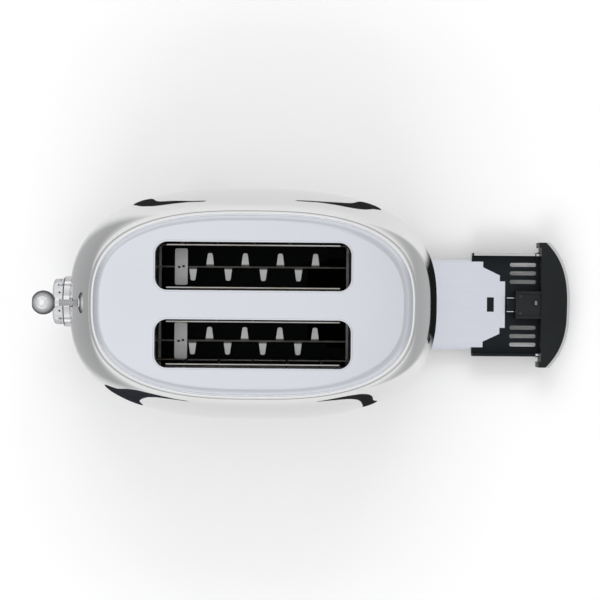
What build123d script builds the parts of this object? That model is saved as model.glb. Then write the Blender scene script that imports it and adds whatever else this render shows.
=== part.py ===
from build123d import *
import os
from math import copysign, cos, pi, radians, sin

# Two-slice toaster: polished rounded shell, ball lever, dial, pulled-out crumb tray.
# Frame: origin on the floor under the middle of the body, +X to the tray end, +Y to the back, +Z up.
# Rest pose: bread racks up, dial at 3, crumb tray pulled out. All sizes are in millimetres.

# Body outline and height
body_length = 310.0
body_width = 195.0
body_height = 198.0
belly_height = 75.0
outline_power = 2.683
outline_steps = 48
shoulder_power = 1.6
shell_wall = 1.2

# Base
base_length = 300.0
base_width = 176.0
base_bottom = 6.0
base_top = 30.0
base_wall = 3.0
base_ledge_width = 12.0
base_ledge = 2.5
base_flange_width = 7.0
base_flange = 1.5
skirt_reveal = 1.5
base_plate_thickness = 2.0

# Top plate and its two slots
plate_length = 251.0
plate_width = 143.5
plate_edge_rise = 6.0
plate_edge_run = 8.0
plate_wall = 1.2
plate_lip = 6.0
trim_width = 1.4
trim_height = 1.6
slot_length = 155.5
slot_width = 40.4
slot_corner = 11.0
slot_rim = 1.3
slot_rim_proud = 0.6
slot_flange_depth = 14.0
slot_spacing = 60.5

# Chassis and heaters
sheet = 1.2
chamber_length = 166.0
chamber_width = 125.0
chamber_height = 155.0
shield_thickness = 0.8
crumb_opening_length = 162.0
crumb_opening_width = 116.0
foot_flange = 11.0
heater_offset = 24.0
heater_thickness = 0.8
heater_height = 124.0
heater_bottom = 46.0
ribbon_count = 10
ribbon_width = 2.5
ribbon_thickness = 0.3
ribbon_length = 150.0

# Bread racks and their carriage
rack_height = 128.0
rack_travel = 48.0
rack_end_gap = 7.1
rack_slot_clearance = 0.9
rack_slot_over = 2.0
rack_thickness = 1.2
rack_depth = 9.0
tooth_pitch = 28.8
tooth_count = 4
first_tooth_up = -35.6
first_tooth_down = -49.5
tooth_length = 10.7
tooth_base = 6.5
tooth_tip = 3.7
tooth_thickness = 1.0
cross_plate_length = 10.4
cross_plate_width = 29.8
cross_plate_thickness = 1.0
cross_plate_corner = 1.5
cross_plate_at = -59.1
carriage_gap = 3.8
carriage_thickness = 2.0
carriage_width = 66.0
carriage_height = 32.0
carriage_below_rack = 16.0
rod_reach = 15.8
rod_spacing = 28.0
rod_diameter = 5.0
rod_clearance = 0.08
rod_length = 128.0
rod_bottom = 44.0
rod_bracket_thickness = 2.0
rod_bracket_width = 44.0
rod_bracket_reach = 24.0
bush_diameter = 9.0
bush_length = 20.0
bush_lift = 6.0
bush_web = 4.5
spring_diameter = 6.0
spring_wire = 0.8

# Lever
lever_height = 138.0
stem_diameter = 5.2
ball_reach = 15.7
ball_diameter = 19.7
ball_facet_diameter = 9.0
neck_length = 5.0
neck_diameter = 12.4
neck_end_wall = 0.6
neck_start = 7.9
lever_slot_clearance = 1.4
lever_slot_end_clearance = 5.0

# Holding magnet
magnet_reach = 35.8
magnet_length = 16.0
magnet_width = 18.0
magnet_pole = 1.0
magnet_core_diameter = 6.0
magnet_gap = 0.3
coil_clearance = 0.2
coil_height = 24.0
keeper_thickness = 1.5
keeper_arm_width = 10.0

# Wire bread guides
guide_offset_low = 19.5
guide_offset_high = 17.0
guide_wire = 1.6
guide_top_wire = 1.8
guide_axle = 2.2
guide_axle_clearance = 0.1
guide_pitch = 28.85
guide_count = 5
guide_bottom = 48.0
guide_bend_low = 150.0
guide_bend_high = 172.0
guide_top = 180.0
guide_top_length = 137.0
guide_bend_radius = 6.0

# Dial, collar and potentiometer
dial_height = 56.0
dial_diameter = 39.2
dial_depth = 9.6
dial_stand_off = 6.9
dial_edge_radius = 2.5
dial_gap = 0.4
collar_diameter = 43.6
collar_bore = 24.0
collar_seat_gap = 0.05
spindle_diameter = 6.0
spindle_clearance = 0.05
spindle_in_dial = 5.6
potentiometer_size = 16.0
potentiometer_depth = 8.0
bush_outer = 9.0
bush_length_dial = 9.0
bush_blind_end = 2.0
panel_clearance = 0.3

# Push buttons and circuit board
button_ring = 31.0
button_angle = 20.0
button_diameter = 9.0
button_recess = 1.1
button_gap = 6.0
button_edge = 0.8
button_flange_diameter = 12.0
button_flange = 1.2
button_flange_back = 0.6
button_clearance = 0.2
board_recess = 15.0
board_thickness = 1.6
board_width = 84.0
board_top = 78.0
board_groove = 2.8
holder_height = 4.8
holder_width = 5.6
holder_end = 1.0
switch_size = 6.0
switch_depth = 4.3

# Crumb tray
tray_pull = 128.0
tray_clearance = 0.3
cap_width = 110.0
cap_depth = 25.0
cap_trim = 2.2
cap_ear_length = 2.0
cap_ear_width = 4.6
tray_floor = 2.0
tray_width = 91.2
tray_wall = 2.4
tray_wall_height = 10.0
frame_length = 59.5
pin_length = 3.5
tray_slot_length = 23.6
tray_slot_width = 3.5
tray_slot_from_cap = 14.0
tray_slot_first = 20.4
tray_slot_pitch = 7.5
tray_slot_count = 3
runner_length = 175.0
runner_width = 5.0
runner_spacing = 70.0
sheet_thickness = 0.8
sheet_from_cap = 30.0
sheet_flange = 3.0
sheet_hole_from_end = 12.9
sheet_hole_length = 6.2
sheet_hole_width = 12.8
sheet_half_width = 39.4
sheet_step_1 = (31.3, 38.0)
sheet_step_2 = (19.6, 33.0)
sheet_step_3 = (4.7, 25.9)
sheet_end_half_width = 20.6
rail_wall = 1.5
rail_floor = 1.0
rail_height = 9.0
rail_lip = 5.0
rail_clearance = 0.5
rail_overrun = 4.0
rail_guide_gap = 6.0
rail_guide_clearance = 0.7
box_length = 22.0
box_width = 24.0
box_height = 11.2
box_wall = 2.0
cover_thickness = 1.0
cover_rail = 2.2
plunger_reach = 6.5
plunger_length = 16.5
plunger_width = 9.0
plunger_height = 5.0
plunger_tail = 4.0
plunger_clearance = 0.3
plunger_travel = 5.0
bail_wire = 1.3
bail_spacing = 11.7
bail_reach = 1.6
pin_diameter = 4.0
catch_thickness = 2.0
catch_width = 12.0
catch_bottom = 16.0

# Feet, screws and gland
foot_diameter = 18.0
foot_spacing_x = 216.0
foot_spacing_y = 96.0
foot_recess = 7.0
foot_recess_depth = 2.0
screw_diameter = 3.0
screw_hole_clearance = 0.2
screw_head_diameter = 5.6
screw_head_height = 2.0
pillar_diameter = 8.0
pillar_spacing_x = 190.0
pillar_spacing_y = 116.0
chassis_screw_spacing_y = 90.0
gland_at = -40.0
gland_diameter = 11.0
gland_flange_diameter = 16.0
gland_flange = 2.5
gland_bore = 7.0
gland_length = 10.0

# Places along X, worked out from the body, the base and how far the tray is pulled
end_plate_out = chamber_length / 2 + sheet
carriage_at = -end_plate_out - carriage_gap
carriage_back = carriage_at - carriage_thickness
rod_at = -end_plate_out - rod_reach
magnet_at = -end_plate_out - magnet_reach
rack_end = chamber_length / 2 - rack_end_gap
ball_at = -body_length / 2 - ball_reach
dial_back = -body_length / 2 - dial_stand_off
dial_front = dial_back - dial_depth
collar_front = dial_back + dial_gap
board_at = -body_length / 2 + board_recess
potentiometer_front = board_at - potentiometer_depth
bush_front = potentiometer_front - bush_length_dial
button_front = -body_length / 2 + button_recess
button_back = board_at - button_gap
button_flange_at = button_back - button_flange - button_flange_back
cap_back = base_length / 2 - cap_depth + tray_pull
tray_front = cap_back - frame_length
tray_wall_end = cap_back - pin_length
tray_slot_at = cap_back - tray_slot_from_cap
sheet_end = cap_back - sheet_from_cap
sheet_hole_at = sheet_end - sheet_hole_from_end
runner_end = sheet_end - runner_length
box_front = cap_back - box_length
plunger_front = box_front - plunger_reach
plunger_back = plunger_front + plunger_length
bail_front = plunger_front - bail_reach
rail_inner_end = runner_end - tray_pull - rail_overrun
guide_start = tray_front - tray_pull - 2 * rail_clearance
rail_outer_end = base_length / 2 - cap_depth - rail_guide_gap

# Heights and widths worked out from the ones above
rim_height = body_height - plate_edge_rise
skirt_length = base_length + 2 * skirt_reveal
skirt_width = base_width + 2 * skirt_reveal
plate_bottom = base_bottom + base_flange
floor_level = plate_bottom + base_plate_thickness
deck_top = base_top + sheet
chamber_top = deck_top + chamber_height
rack_bottom = rack_height - rack_depth
carriage_bottom = rack_height - carriage_below_rack
carriage_top = carriage_bottom + carriage_height
rod_top = rod_bottom + rod_length
keeper_bottom = carriage_bottom - keeper_thickness
magnet_top = keeper_bottom - rack_travel - magnet_gap
rail_top = floor_level + rail_floor
runner_bottom = rail_top + tray_clearance
tray_top = runner_bottom + tray_floor
sheet_top = tray_top + sheet_thickness
notch_top = base_top - base_ledge
cap_bottom = floor_level + tray_clearance
cap_height = notch_top - tray_clearance - cap_bottom
gland_height = (floor_level + notch_top) / 2
rail_inner = sheet_half_width + rail_clearance
rail_outer = tray_width / 2 + rail_guide_clearance + rail_wall
tail_width = bail_spacing + bail_wire
cavity_bottom = tray_top + box_wall
cavity_height = plunger_height + 2 * plunger_clearance
plunger_bottom = cavity_bottom + plunger_clearance
board_bottom = deck_top + holder_height - board_groove
slot_centres = (slot_spacing / 2, -slot_spacing / 2)
button_out = button_ring * cos(radians(button_angle))
button_up = button_ring * sin(radians(button_angle))
button_spots = [(side * button_out, dial_height + lift * button_up) for side in (1, -1) for lift in (1, -1)]
rod_spots = [(rod_at, rod_spacing / 2), (rod_at, -rod_spacing / 2)]

os.makedirs("parts", exist_ok=True)


def write(part, label):
    """Label a finished piece and write its file."""
    part.label = label
    export_step(part, f"parts/{label}.step")


def rounded_outline(half_length, half_width):
    """Add the body's rounded outline, a superellipse, to the sketch being built."""
    points = []
    for step in range(outline_steps):
        angle = 2 * pi * step / outline_steps
        along = copysign(abs(cos(angle)) ** (2 / outline_power), cos(angle))
        across = copysign(abs(sin(angle)) ** (2 / outline_power), sin(angle))
        points.append((half_length * along, half_width * across))
    with BuildLine() as curve:
        Spline(*points, periodic=True)
    make_face(curve.edges())


def body_solid(grow):
    """The body's outer form, from base to rim, grown or shrunk by a wall."""
    with BuildPart() as form:
        for drop in (0.0, 0.35, 0.7):
            height = base_top + drop * (belly_height - base_top)
            share = 1 - (1 - drop) ** 2
            half_length = (skirt_length + share * (body_length - skirt_length)) / 2 + grow
            half_width = (skirt_width + share * (body_width - skirt_width)) / 2 + grow
            with BuildSketch(Plane.XY.offset(height)):
                rounded_outline(half_length, half_width)
        for rise in (0.0, 0.25, 0.5, 0.7, 0.84, 0.93, 0.98, 1.0):
            height = belly_height + rise * (rim_height + grow - belly_height)
            share = 1 - (1 - rise**shoulder_power) ** (1 / shoulder_power)
            half_length = body_length / 2 + grow - share * (body_length / 2 + grow - plate_length / 2)
            half_width = body_width / 2 + grow - share * (body_width / 2 + grow - plate_width / 2)
            with BuildSketch(Plane.XY.offset(height)):
                rounded_outline(half_length, half_width)
        loft()
    return form.part


def plate_solid(grow):
    """The top plate's form, a shallow pan turned over, grown or shrunk by a wall."""
    with BuildPart() as form:
        for turn in (0.0, 22.5, 45.0, 67.5, 90.0):
            height = rim_height + (plate_edge_rise + grow) * sin(radians(turn))
            inset = plate_edge_run * (1 - cos(radians(turn)))
            with BuildSketch(Plane.XY.offset(height)):
                rounded_outline(plate_length / 2 + grow - inset, plate_width / 2 + grow - inset)
        loft()
    return form.part


# Outer shell
with BuildPart() as outer_shell:
    add(body_solid(0.0))
    add(body_solid(-shell_wall), mode=Mode.SUBTRACT)
    with BuildSketch(Plane.XY.offset(rim_height + shell_wall)):
        rounded_outline(plate_length / 2 - plate_lip, plate_width / 2 - plate_lip)
    extrude(amount=-4 * shell_wall, mode=Mode.SUBTRACT)
    with BuildSketch(Plane.YZ.offset(dial_front)):
        with Locations((0, lever_height - rack_travel / 2)):
            SlotOverall(
                rack_travel + stem_diameter + 2 * lever_slot_end_clearance,
                stem_diameter + 2 * lever_slot_clearance,
                rotation=90,
            )
    extrude(amount=board_at - dial_front + panel_clearance, mode=Mode.SUBTRACT)
    with BuildSketch(Plane.YZ.offset(dial_front)):
        with Locations((0, dial_height)):
            Circle(bush_outer / 2 + panel_clearance)
        with Locations(*button_spots):
            Circle(button_diameter / 2 + button_clearance)
    extrude(amount=board_at - dial_front + panel_clearance, mode=Mode.SUBTRACT)
write(outer_shell.part, "outer_shell")

# Top plate with two rolled slots
with BuildPart() as top_plate:
    add(plate_solid(0.0))
    add(plate_solid(-plate_wall), mode=Mode.SUBTRACT)
    with BuildSketch(Plane.XY.offset(body_height - slot_flange_depth)):
        with Locations(*[(0, y) for y in slot_centres]):
            RectangleRounded(slot_length, slot_width, slot_corner)
    extrude(amount=slot_flange_depth + slot_rim_proud)
    rim_edges = top_plate.faces().sort_by(Axis.Z)[-2:].edges()
    fillet(rim_edges, slot_rim_proud * 0.8)
    with BuildSketch(Plane.XY.offset(body_height - slot_flange_depth)):
        with Locations(*[(0, y) for y in slot_centres]):
            RectangleRounded(slot_length - 2 * slot_rim, slot_width - 2 * slot_rim, slot_corner - slot_rim)
    extrude(amount=slot_flange_depth + 2 * slot_rim_proud, mode=Mode.SUBTRACT)
write(top_plate.part, "top_plate")

# Bright ring round the top plate
with BuildPart() as top_trim_ring:
    with BuildSketch(Plane.XY.offset(rim_height)):
        rounded_outline(plate_length / 2 + trim_width, plate_width / 2 + trim_width)
    extrude(amount=trim_height)
    fillet(top_trim_ring.faces().sort_by(Axis.Z)[-1].edges(), trim_width / 2)
    add(plate_solid(0.0), mode=Mode.SUBTRACT)
write(top_trim_ring.part, "top_trim_ring")

# Base band, with a notch for the tray's cap and a hole for the gland
with BuildPart() as base_band:
    with BuildSketch(Plane.XY.offset(base_bottom)):
        rounded_outline(base_length / 2, base_width / 2)
    extrude(amount=base_top - base_bottom)
    with BuildSketch(Plane.XY.offset(base_bottom)):
        rounded_outline(base_length / 2 - base_flange_width, base_width / 2 - base_flange_width)
    extrude(amount=base_flange, mode=Mode.SUBTRACT)
    with BuildSketch(Plane.XY.offset(plate_bottom)):
        rounded_outline(base_length / 2 - base_wall, base_width / 2 - base_wall)
    extrude(amount=notch_top - plate_bottom, mode=Mode.SUBTRACT)
    with BuildSketch(Plane.XY.offset(notch_top)):
        rounded_outline(base_length / 2 - base_ledge_width, base_width / 2 - base_ledge_width)
    extrude(amount=base_ledge, mode=Mode.SUBTRACT)
    with BuildSketch(Plane.XY.offset(floor_level)):
        with Locations((base_length / 2, 0)):
            Rectangle(2 * (cap_depth + cap_ear_length + tray_clearance), cap_width + 2 * tray_clearance)
    extrude(amount=notch_top - floor_level, mode=Mode.SUBTRACT)
    with BuildSketch(Plane.XZ.offset(-base_width / 2)):
        with Locations((gland_at, gland_height)):
            Circle(gland_diameter / 2)
    extrude(amount=2 * base_wall, mode=Mode.SUBTRACT)
write(base_band.part, "base_band")

# Base plate with the pillars that carry the chassis floor
with BuildPart() as base_plate:
    with BuildSketch(Plane.XY.offset(plate_bottom)):
        rounded_outline(base_length / 2 - base_wall, base_width / 2 - base_wall)
    extrude(amount=base_plate_thickness)
    with BuildSketch(Plane.XY.offset(floor_level)):
        with GridLocations(pillar_spacing_x, pillar_spacing_y, 2, 2):
            Circle(pillar_diameter / 2)
    extrude(amount=base_top - floor_level)
    with BuildSketch(Plane.XY.offset(plate_bottom)):
        with GridLocations(pillar_spacing_x, pillar_spacing_y, 2, 2):
            Circle(screw_diameter / 2 + screw_hole_clearance)
        with GridLocations(foot_spacing_x, foot_spacing_y, 2, 2):
            Circle(screw_diameter / 2)
    extrude(amount=base_top - plate_bottom, mode=Mode.SUBTRACT)
write(base_plate.part, "base_plate")

# Rubber feet
with BuildPart() as feet:
    with BuildSketch(Plane.XY):
        with GridLocations(foot_spacing_x, foot_spacing_y, 2, 2):
            Circle(foot_diameter / 2)
    extrude(amount=plate_bottom)
    with BuildSketch(Plane.XY):
        with GridLocations(foot_spacing_x, foot_spacing_y, 2, 2):
            Circle(foot_recess / 2)
    extrude(amount=foot_recess_depth + screw_head_height, mode=Mode.SUBTRACT)
    with BuildSketch(Plane.XY):
        with GridLocations(foot_spacing_x, foot_spacing_y, 2, 2):
            Circle(screw_diameter / 2)
    extrude(amount=plate_bottom, mode=Mode.SUBTRACT)
write(feet.part, "feet")

# Screws that hold the feet
with BuildPart() as foot_screws:
    with BuildSketch(Plane.XY.offset(foot_recess_depth)):
        with GridLocations(foot_spacing_x, foot_spacing_y, 2, 2):
            Circle(screw_head_diameter / 2)
    extrude(amount=screw_head_height)
    with BuildSketch(Plane.XY.offset(foot_recess_depth)):
        with GridLocations(foot_spacing_x, foot_spacing_y, 2, 2):
            Circle(screw_diameter / 2)
    extrude(amount=floor_level - foot_recess_depth)
write(foot_screws.part, "foot_screws")

# Screws that hold the base plate to the chassis floor
with BuildPart() as base_screws:
    with BuildSketch(Plane.XY.offset(plate_bottom - screw_head_height)):
        with GridLocations(pillar_spacing_x, pillar_spacing_y, 2, 2):
            Circle(screw_head_diameter / 2)
    extrude(amount=screw_head_height)
    with BuildSketch(Plane.XY.offset(plate_bottom)):
        with GridLocations(pillar_spacing_x, pillar_spacing_y, 2, 2):
            Circle(screw_diameter / 2)
    extrude(amount=deck_top - plate_bottom)
write(base_screws.part, "base_screws")

# Chassis floor, open below the toasting chambers so that crumbs fall into the tray
with BuildPart() as chassis_floor:
    with BuildSketch(Plane.XY.offset(base_top)):
        rounded_outline(skirt_length / 2 - 2 * shell_wall, skirt_width / 2 - 2 * shell_wall)
        Rectangle(crumb_opening_length, crumb_opening_width, mode=Mode.SUBTRACT)
        with GridLocations(pillar_spacing_x, pillar_spacing_y, 2, 2):
            Circle(screw_diameter / 2, mode=Mode.SUBTRACT)
        with GridLocations(2 * end_plate_out + foot_flange, chassis_screw_spacing_y, 2, 2):
            Circle(screw_diameter / 2, mode=Mode.SUBTRACT)
    extrude(amount=sheet)
write(chassis_floor.part, "chassis_floor")


def end_plate(side, rack_slots):
    """One end plate of the toasting chambers, with its foot flange and the guides' axle holes."""
    inner = side * chamber_length / 2
    outward = side * sheet
    with BuildPart() as plate:
        with BuildSketch(Plane.YZ.offset(inner)):
            with Locations((0, (deck_top + chamber_top) / 2)):
                Rectangle(chamber_width, chamber_height)
            for y in slot_centres:
                with Locations((y + guide_offset_low, guide_bottom), (y - guide_offset_low, guide_bottom)):
                    Circle(guide_axle / 2 + guide_axle_clearance, mode=Mode.SUBTRACT)
                if rack_slots:
                    with Locations((y, rack_height - (rack_depth + rack_travel) / 2)):
                        Rectangle(
                            rack_thickness + 2 * rack_slot_clearance,
                            rack_depth + rack_travel + 2 * rack_slot_over,
                            mode=Mode.SUBTRACT,
                        )
        extrude(amount=outward)
        with BuildSketch(Plane.XY.offset(deck_top)):
            with Locations((side * (end_plate_out + foot_flange / 2), 0)):
                Rectangle(foot_flange, chamber_width)
            with GridLocations(2 * end_plate_out + foot_flange, chassis_screw_spacing_y, 2, 2):
                Circle(screw_diameter / 2, mode=Mode.SUBTRACT)
        extrude(amount=sheet)
    return plate.part


control_end_plate = end_plate(-1, True)
write(control_end_plate, "control_end_plate")
tray_end_plate = end_plate(1, False)
write(tray_end_plate, "tray_end_plate")

# Screws that hold the end plates to the chassis floor
with BuildPart() as chassis_screws:
    with BuildSketch(Plane.XY.offset(base_top)):
        with GridLocations(2 * end_plate_out + foot_flange, chassis_screw_spacing_y, 2, 2):
            Circle(screw_diameter / 2)
    extrude(amount=2 * sheet)
    with BuildSketch(Plane.XY.offset(deck_top + sheet)):
        with GridLocations(2 * end_plate_out + foot_flange, chassis_screw_spacing_y, 2, 2):
            Circle(screw_head_diameter / 2)
    extrude(amount=screw_head_height)
write(chassis_screws.part, "chassis_screws")

# Heat shields along both sides of the chambers
for side, name in ((1, "rear"), (-1, "front")):
    with BuildPart() as heat_shield:
        with BuildSketch(Plane.XY.offset(deck_top)):
            with Locations((0, side * (chamber_width - shield_thickness) / 2)):
                Rectangle(chamber_length, shield_thickness)
        extrude(amount=chamber_height)
    write(heat_shield.part, f"heat_shield_{name}")

# Heater boards on both sides of each chamber
for slot_y, slot_name in zip(slot_centres, ("rear", "front")):
    for side in (1, -1):
        place = "outer" if side * slot_y > 0 else "inner"
        with BuildPart() as heater_board:
            with BuildSketch(Plane.XY.offset(heater_bottom)):
                with Locations((0, slot_y + side * (heater_offset + heater_thickness / 2))):
                    Rectangle(chamber_length, heater_thickness)
            extrude(amount=heater_height)
        write(heater_board.part, f"heater_board_{slot_name}_{place}")

# Heating ribbons on the boards' chamber sides
with BuildPart() as heater_ribbons:
    for slot_y in slot_centres:
        for side in (1, -1):
            with BuildSketch(Plane.XZ.offset(-(slot_y + side * heater_offset))):
                with Locations((0, heater_bottom + heater_height / 2)):
                    with GridLocations(0, heater_height / ribbon_count, 1, ribbon_count):
                        Rectangle(ribbon_length, ribbon_width)
            extrude(amount=side * ribbon_thickness)
write(heater_ribbons.part, "heater_ribbons")

# Brackets and rods that guide the carriage
with BuildPart() as rod_brackets:
    for level in (rod_bottom - rod_bracket_thickness, rod_top):
        with BuildSketch(Plane.XY.offset(level)):
            with Locations((-end_plate_out - rod_bracket_reach / 2, 0)):
                Rectangle(rod_bracket_reach, rod_bracket_width)
        extrude(amount=rod_bracket_thickness)
write(rod_brackets.part, "rod_brackets")

with BuildPart() as guide_rods:
    with BuildSketch(Plane.XY.offset(rod_bottom)):
        with Locations(*rod_spots):
            Circle(rod_diameter / 2)
    extrude(amount=rod_length)
write(guide_rods.part, "guide_rods")

# Return spring between the carriage and the upper bracket
with BuildPart() as return_spring:
    with BuildSketch(Plane.XY.offset(carriage_top)):
        with Locations((carriage_at - carriage_thickness / 2, 0)):
            Circle(spring_diameter / 2)
            Circle(spring_diameter / 2 - spring_wire, mode=Mode.SUBTRACT)
    extrude(amount=rod_top - carriage_top)
write(return_spring.part, "return_spring")

# Carriage bracket with its bushes and keeper arm
with BuildPart() as carriage_bracket:
    with BuildSketch(Plane.YZ.offset(carriage_back)):
        with Locations((0, (carriage_bottom + carriage_top) / 2)):
            Rectangle(carriage_width, carriage_height)
    extrude(amount=carriage_thickness)
    with BuildSketch(Plane.XY.offset(carriage_bottom + bush_lift)):
        with Locations(*rod_spots):
            Circle(bush_diameter / 2)
        with Locations(((rod_at + carriage_back) / 2, 0)):
            with GridLocations(0, rod_spacing, 1, 2):
                Rectangle(carriage_back - rod_at, bush_web)
    extrude(amount=bush_length)
    with BuildSketch(Plane.XY.offset(carriage_bottom)):
        with Locations(((magnet_at - magnet_length / 2 + carriage_back) / 2, 0)):
            Rectangle(carriage_back - magnet_at + magnet_length / 2, keeper_arm_width)
    extrude(amount=carriage_thickness)
    with BuildSketch(Plane.XY.offset(carriage_bottom)):
        with Locations(*rod_spots):
            Circle(rod_diameter / 2 + rod_clearance)
    extrude(amount=carriage_height, mode=Mode.SUBTRACT)
write(carriage_bracket.part, "carriage_bracket")

# Keeper plate that the magnet holds
with BuildPart() as keeper_plate:
    with BuildSketch(Plane.XY.offset(keeper_bottom)):
        with Locations((magnet_at, 0)):
            Rectangle(magnet_length, magnet_width)
    extrude(amount=keeper_thickness)
write(keeper_plate.part, "keeper_plate")

# Holding magnet: frame with core, and coil
with BuildPart() as magnet_frame:
    with BuildSketch(Plane.XY.offset(deck_top)):
        with Locations((magnet_at, 0)):
            Rectangle(magnet_length, magnet_width)
    extrude(amount=magnet_pole)
    with BuildSketch(Plane.XY.offset(deck_top)):
        with Locations((magnet_at, 0)):
            Circle(magnet_core_diameter / 2)
            with GridLocations(0, magnet_width - magnet_pole, 1, 2):
                Rectangle(magnet_length, magnet_pole)
    extrude(amount=magnet_top - deck_top)
write(magnet_frame.part, "magnet_frame")

with BuildPart() as magnet_coil:
    with BuildSketch(Plane.XY.offset(deck_top + magnet_pole)):
        with Locations((magnet_at, 0)):
            Circle(magnet_width / 2 - magnet_pole - coil_clearance)
            Circle(magnet_core_diameter / 2, mode=Mode.SUBTRACT)
    extrude(amount=coil_height)
write(magnet_coil.part, "magnet_coil")


def tooth(base_x, side):
    """Add one bent tooth of a rack to the sketch being built."""
    with BuildLine() as edge:
        Polyline(
            (base_x - tooth_base / 2, 0),
            (base_x - tooth_tip / 2, side * tooth_length),
            (base_x + tooth_tip / 2, side * tooth_length),
            (base_x + tooth_base / 2, 0),
            close=True,
        )
    make_face(edge.edges())


# Bread racks, one in each chamber, each with a cross plate
for slot_y, slot_name in zip(slot_centres, ("rear", "front")):
    with BuildPart() as bread_rack:
        with BuildSketch(Plane.XY.offset(rack_bottom)):
            with Locations(((carriage_at + rack_end) / 2, slot_y)):
                Rectangle(rack_end - carriage_at, rack_thickness)
        extrude(amount=rack_depth)
        for side, first_tooth in ((1, first_tooth_up), (-1, first_tooth_down)):
            root = Plane.XY.offset(rack_height - tooth_thickness).move(
                Location((0, slot_y + side * rack_thickness / 2, 0))
            )
            with BuildSketch(root):
                for number in range(tooth_count):
                    tooth(first_tooth + number * tooth_pitch, side)
            extrude(amount=tooth_thickness)
        tips = bread_rack.edges().filter_by(Axis.Z).group_by(lambda e: abs(e.center().Y - slot_y))[-1]
        fillet(tips, tooth_tip * 0.4)
    write(bread_rack.part, f"bread_rack_{slot_name}")

with BuildPart() as rack_cross_plates:
    with BuildSketch(Plane.XY.offset(rack_height)):
        with Locations(*[(cross_plate_at, y) for y in slot_centres]):
            RectangleRounded(cross_plate_length, cross_plate_width, cross_plate_corner)
    extrude(amount=cross_plate_thickness)
write(rack_cross_plates.part, "rack_cross_plates")

# Lever stem and ball
ball_radius = ball_diameter / 2
neck_out = neck_start + neck_length
with BuildPart() as lever_stem:
    with BuildSketch(Plane.YZ.offset(ball_at)):
        with Locations((0, lever_height)):
            Circle(stem_diameter / 2)
    extrude(amount=carriage_back - ball_at)
write(lever_stem.part, "lever_stem")

facet_at = (ball_radius**2 - (ball_facet_diameter / 2) ** 2) ** 0.5
lever_plane = Plane(origin=(ball_at, 0, lever_height), x_dir=(1, 0, 0), z_dir=(0, -1, 0))
with BuildPart() as lever_ball:
    with BuildSketch(lever_plane):
        Circle(ball_radius)
        with BuildLine() as neck:
            Polyline(
                (0, 0),
                (0, neck_diameter / 2),
                (neck_out, stem_diameter / 2 + neck_end_wall),
                (neck_out, 0),
                close=True,
            )
        make_face()
        with Locations((0, -ball_radius)):
            Rectangle(6 * ball_radius, 2 * ball_radius, mode=Mode.SUBTRACT)
        with Locations((-facet_at - ball_radius, 0)):
            Rectangle(2 * ball_radius, 4 * ball_radius, mode=Mode.SUBTRACT)
    revolve(axis=Axis((ball_at, 0, lever_height), (1, 0, 0)))
    with BuildSketch(Plane.YZ.offset(ball_at)):
        with Locations((0, lever_height)):
            Circle(stem_diameter / 2)
    extrude(amount=4 * ball_radius, mode=Mode.SUBTRACT)
write(lever_ball.part, "lever_ball")


def guide_cage(slot_y, side):
    """One wire bread guide: its axle at the bottom, five uprights and a top wire."""
    low = slot_y + side * guide_offset_low
    high = slot_y + side * guide_offset_high
    with BuildPart() as cage:
        with BuildSketch(Plane.YZ.offset(-end_plate_out)):
            with Locations((low, guide_bottom)):
                Circle(guide_axle / 2)
        extrude(amount=2 * end_plate_out)
        with BuildSketch(Plane.YZ.offset(-guide_top_length / 2)):
            with Locations((high, guide_top)):
                Circle(guide_top_wire / 2)
        extrude(amount=guide_top_length)
        for number in range(guide_count):
            x = (number - (guide_count - 1) / 2) * guide_pitch
            with BuildLine() as upright:
                FilletPolyline(
                    (x, low, guide_bottom),
                    (x, low, guide_bend_low),
                    (x, high, guide_bend_high),
                    (x, high, guide_top),
                    radius=guide_bend_radius,
                )
            with BuildSketch(Plane.XY.offset(guide_bottom)):
                with Locations((x, low)):
                    Circle(guide_wire / 2)
            sweep(path=upright.wires()[0])
    return cage.part


for slot_y, slot_name in zip(slot_centres, ("rear", "front")):
    for side in (1, -1):
        place = "outer" if side * slot_y > 0 else "inner"
        write(guide_cage(slot_y, side), f"guide_cage_{slot_name}_{place}")

# Dial, on its spindle
dial_plane = Plane(origin=(0, 0, dial_height), x_dir=(1, 0, 0), z_dir=(0, -1, 0))
dial_axis = Axis((0, 0, dial_height), (1, 0, 0))
with BuildPart() as dial:
    with BuildSketch(Plane.YZ.offset(dial_front)):
        with Locations((0, dial_height)):
            Circle(dial_diameter / 2)
    extrude(amount=dial_back - dial_front)
    fillet(dial.faces().sort_by(Axis.X)[0].edges(), dial_edge_radius)
    with BuildSketch(Plane.YZ.offset(dial_back)):
        with Locations((0, dial_height)):
            Circle(spindle_diameter / 2)
    extrude(amount=-spindle_in_dial, mode=Mode.SUBTRACT)
write(dial.part, "dial")

with BuildPart() as dial_spindle:
    with BuildSketch(Plane.YZ.offset(dial_back - spindle_in_dial)):
        with Locations((0, dial_height)):
            Circle(spindle_diameter / 2)
    extrude(amount=potentiometer_front + bush_blind_end - dial_back + spindle_in_dial)
write(dial_spindle.part, "dial_spindle")

# Collar between the dial and the shell
with BuildPart() as dial_collar:
    with BuildSketch(Plane.YZ.offset(collar_front)):
        with Locations((0, dial_height)):
            Circle(collar_diameter / 2)
            Circle(collar_bore / 2, mode=Mode.SUBTRACT)
    extrude(amount=potentiometer_front - collar_front)
    add(body_solid(collar_seat_gap), mode=Mode.SUBTRACT)
write(dial_collar.part, "dial_collar")

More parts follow.
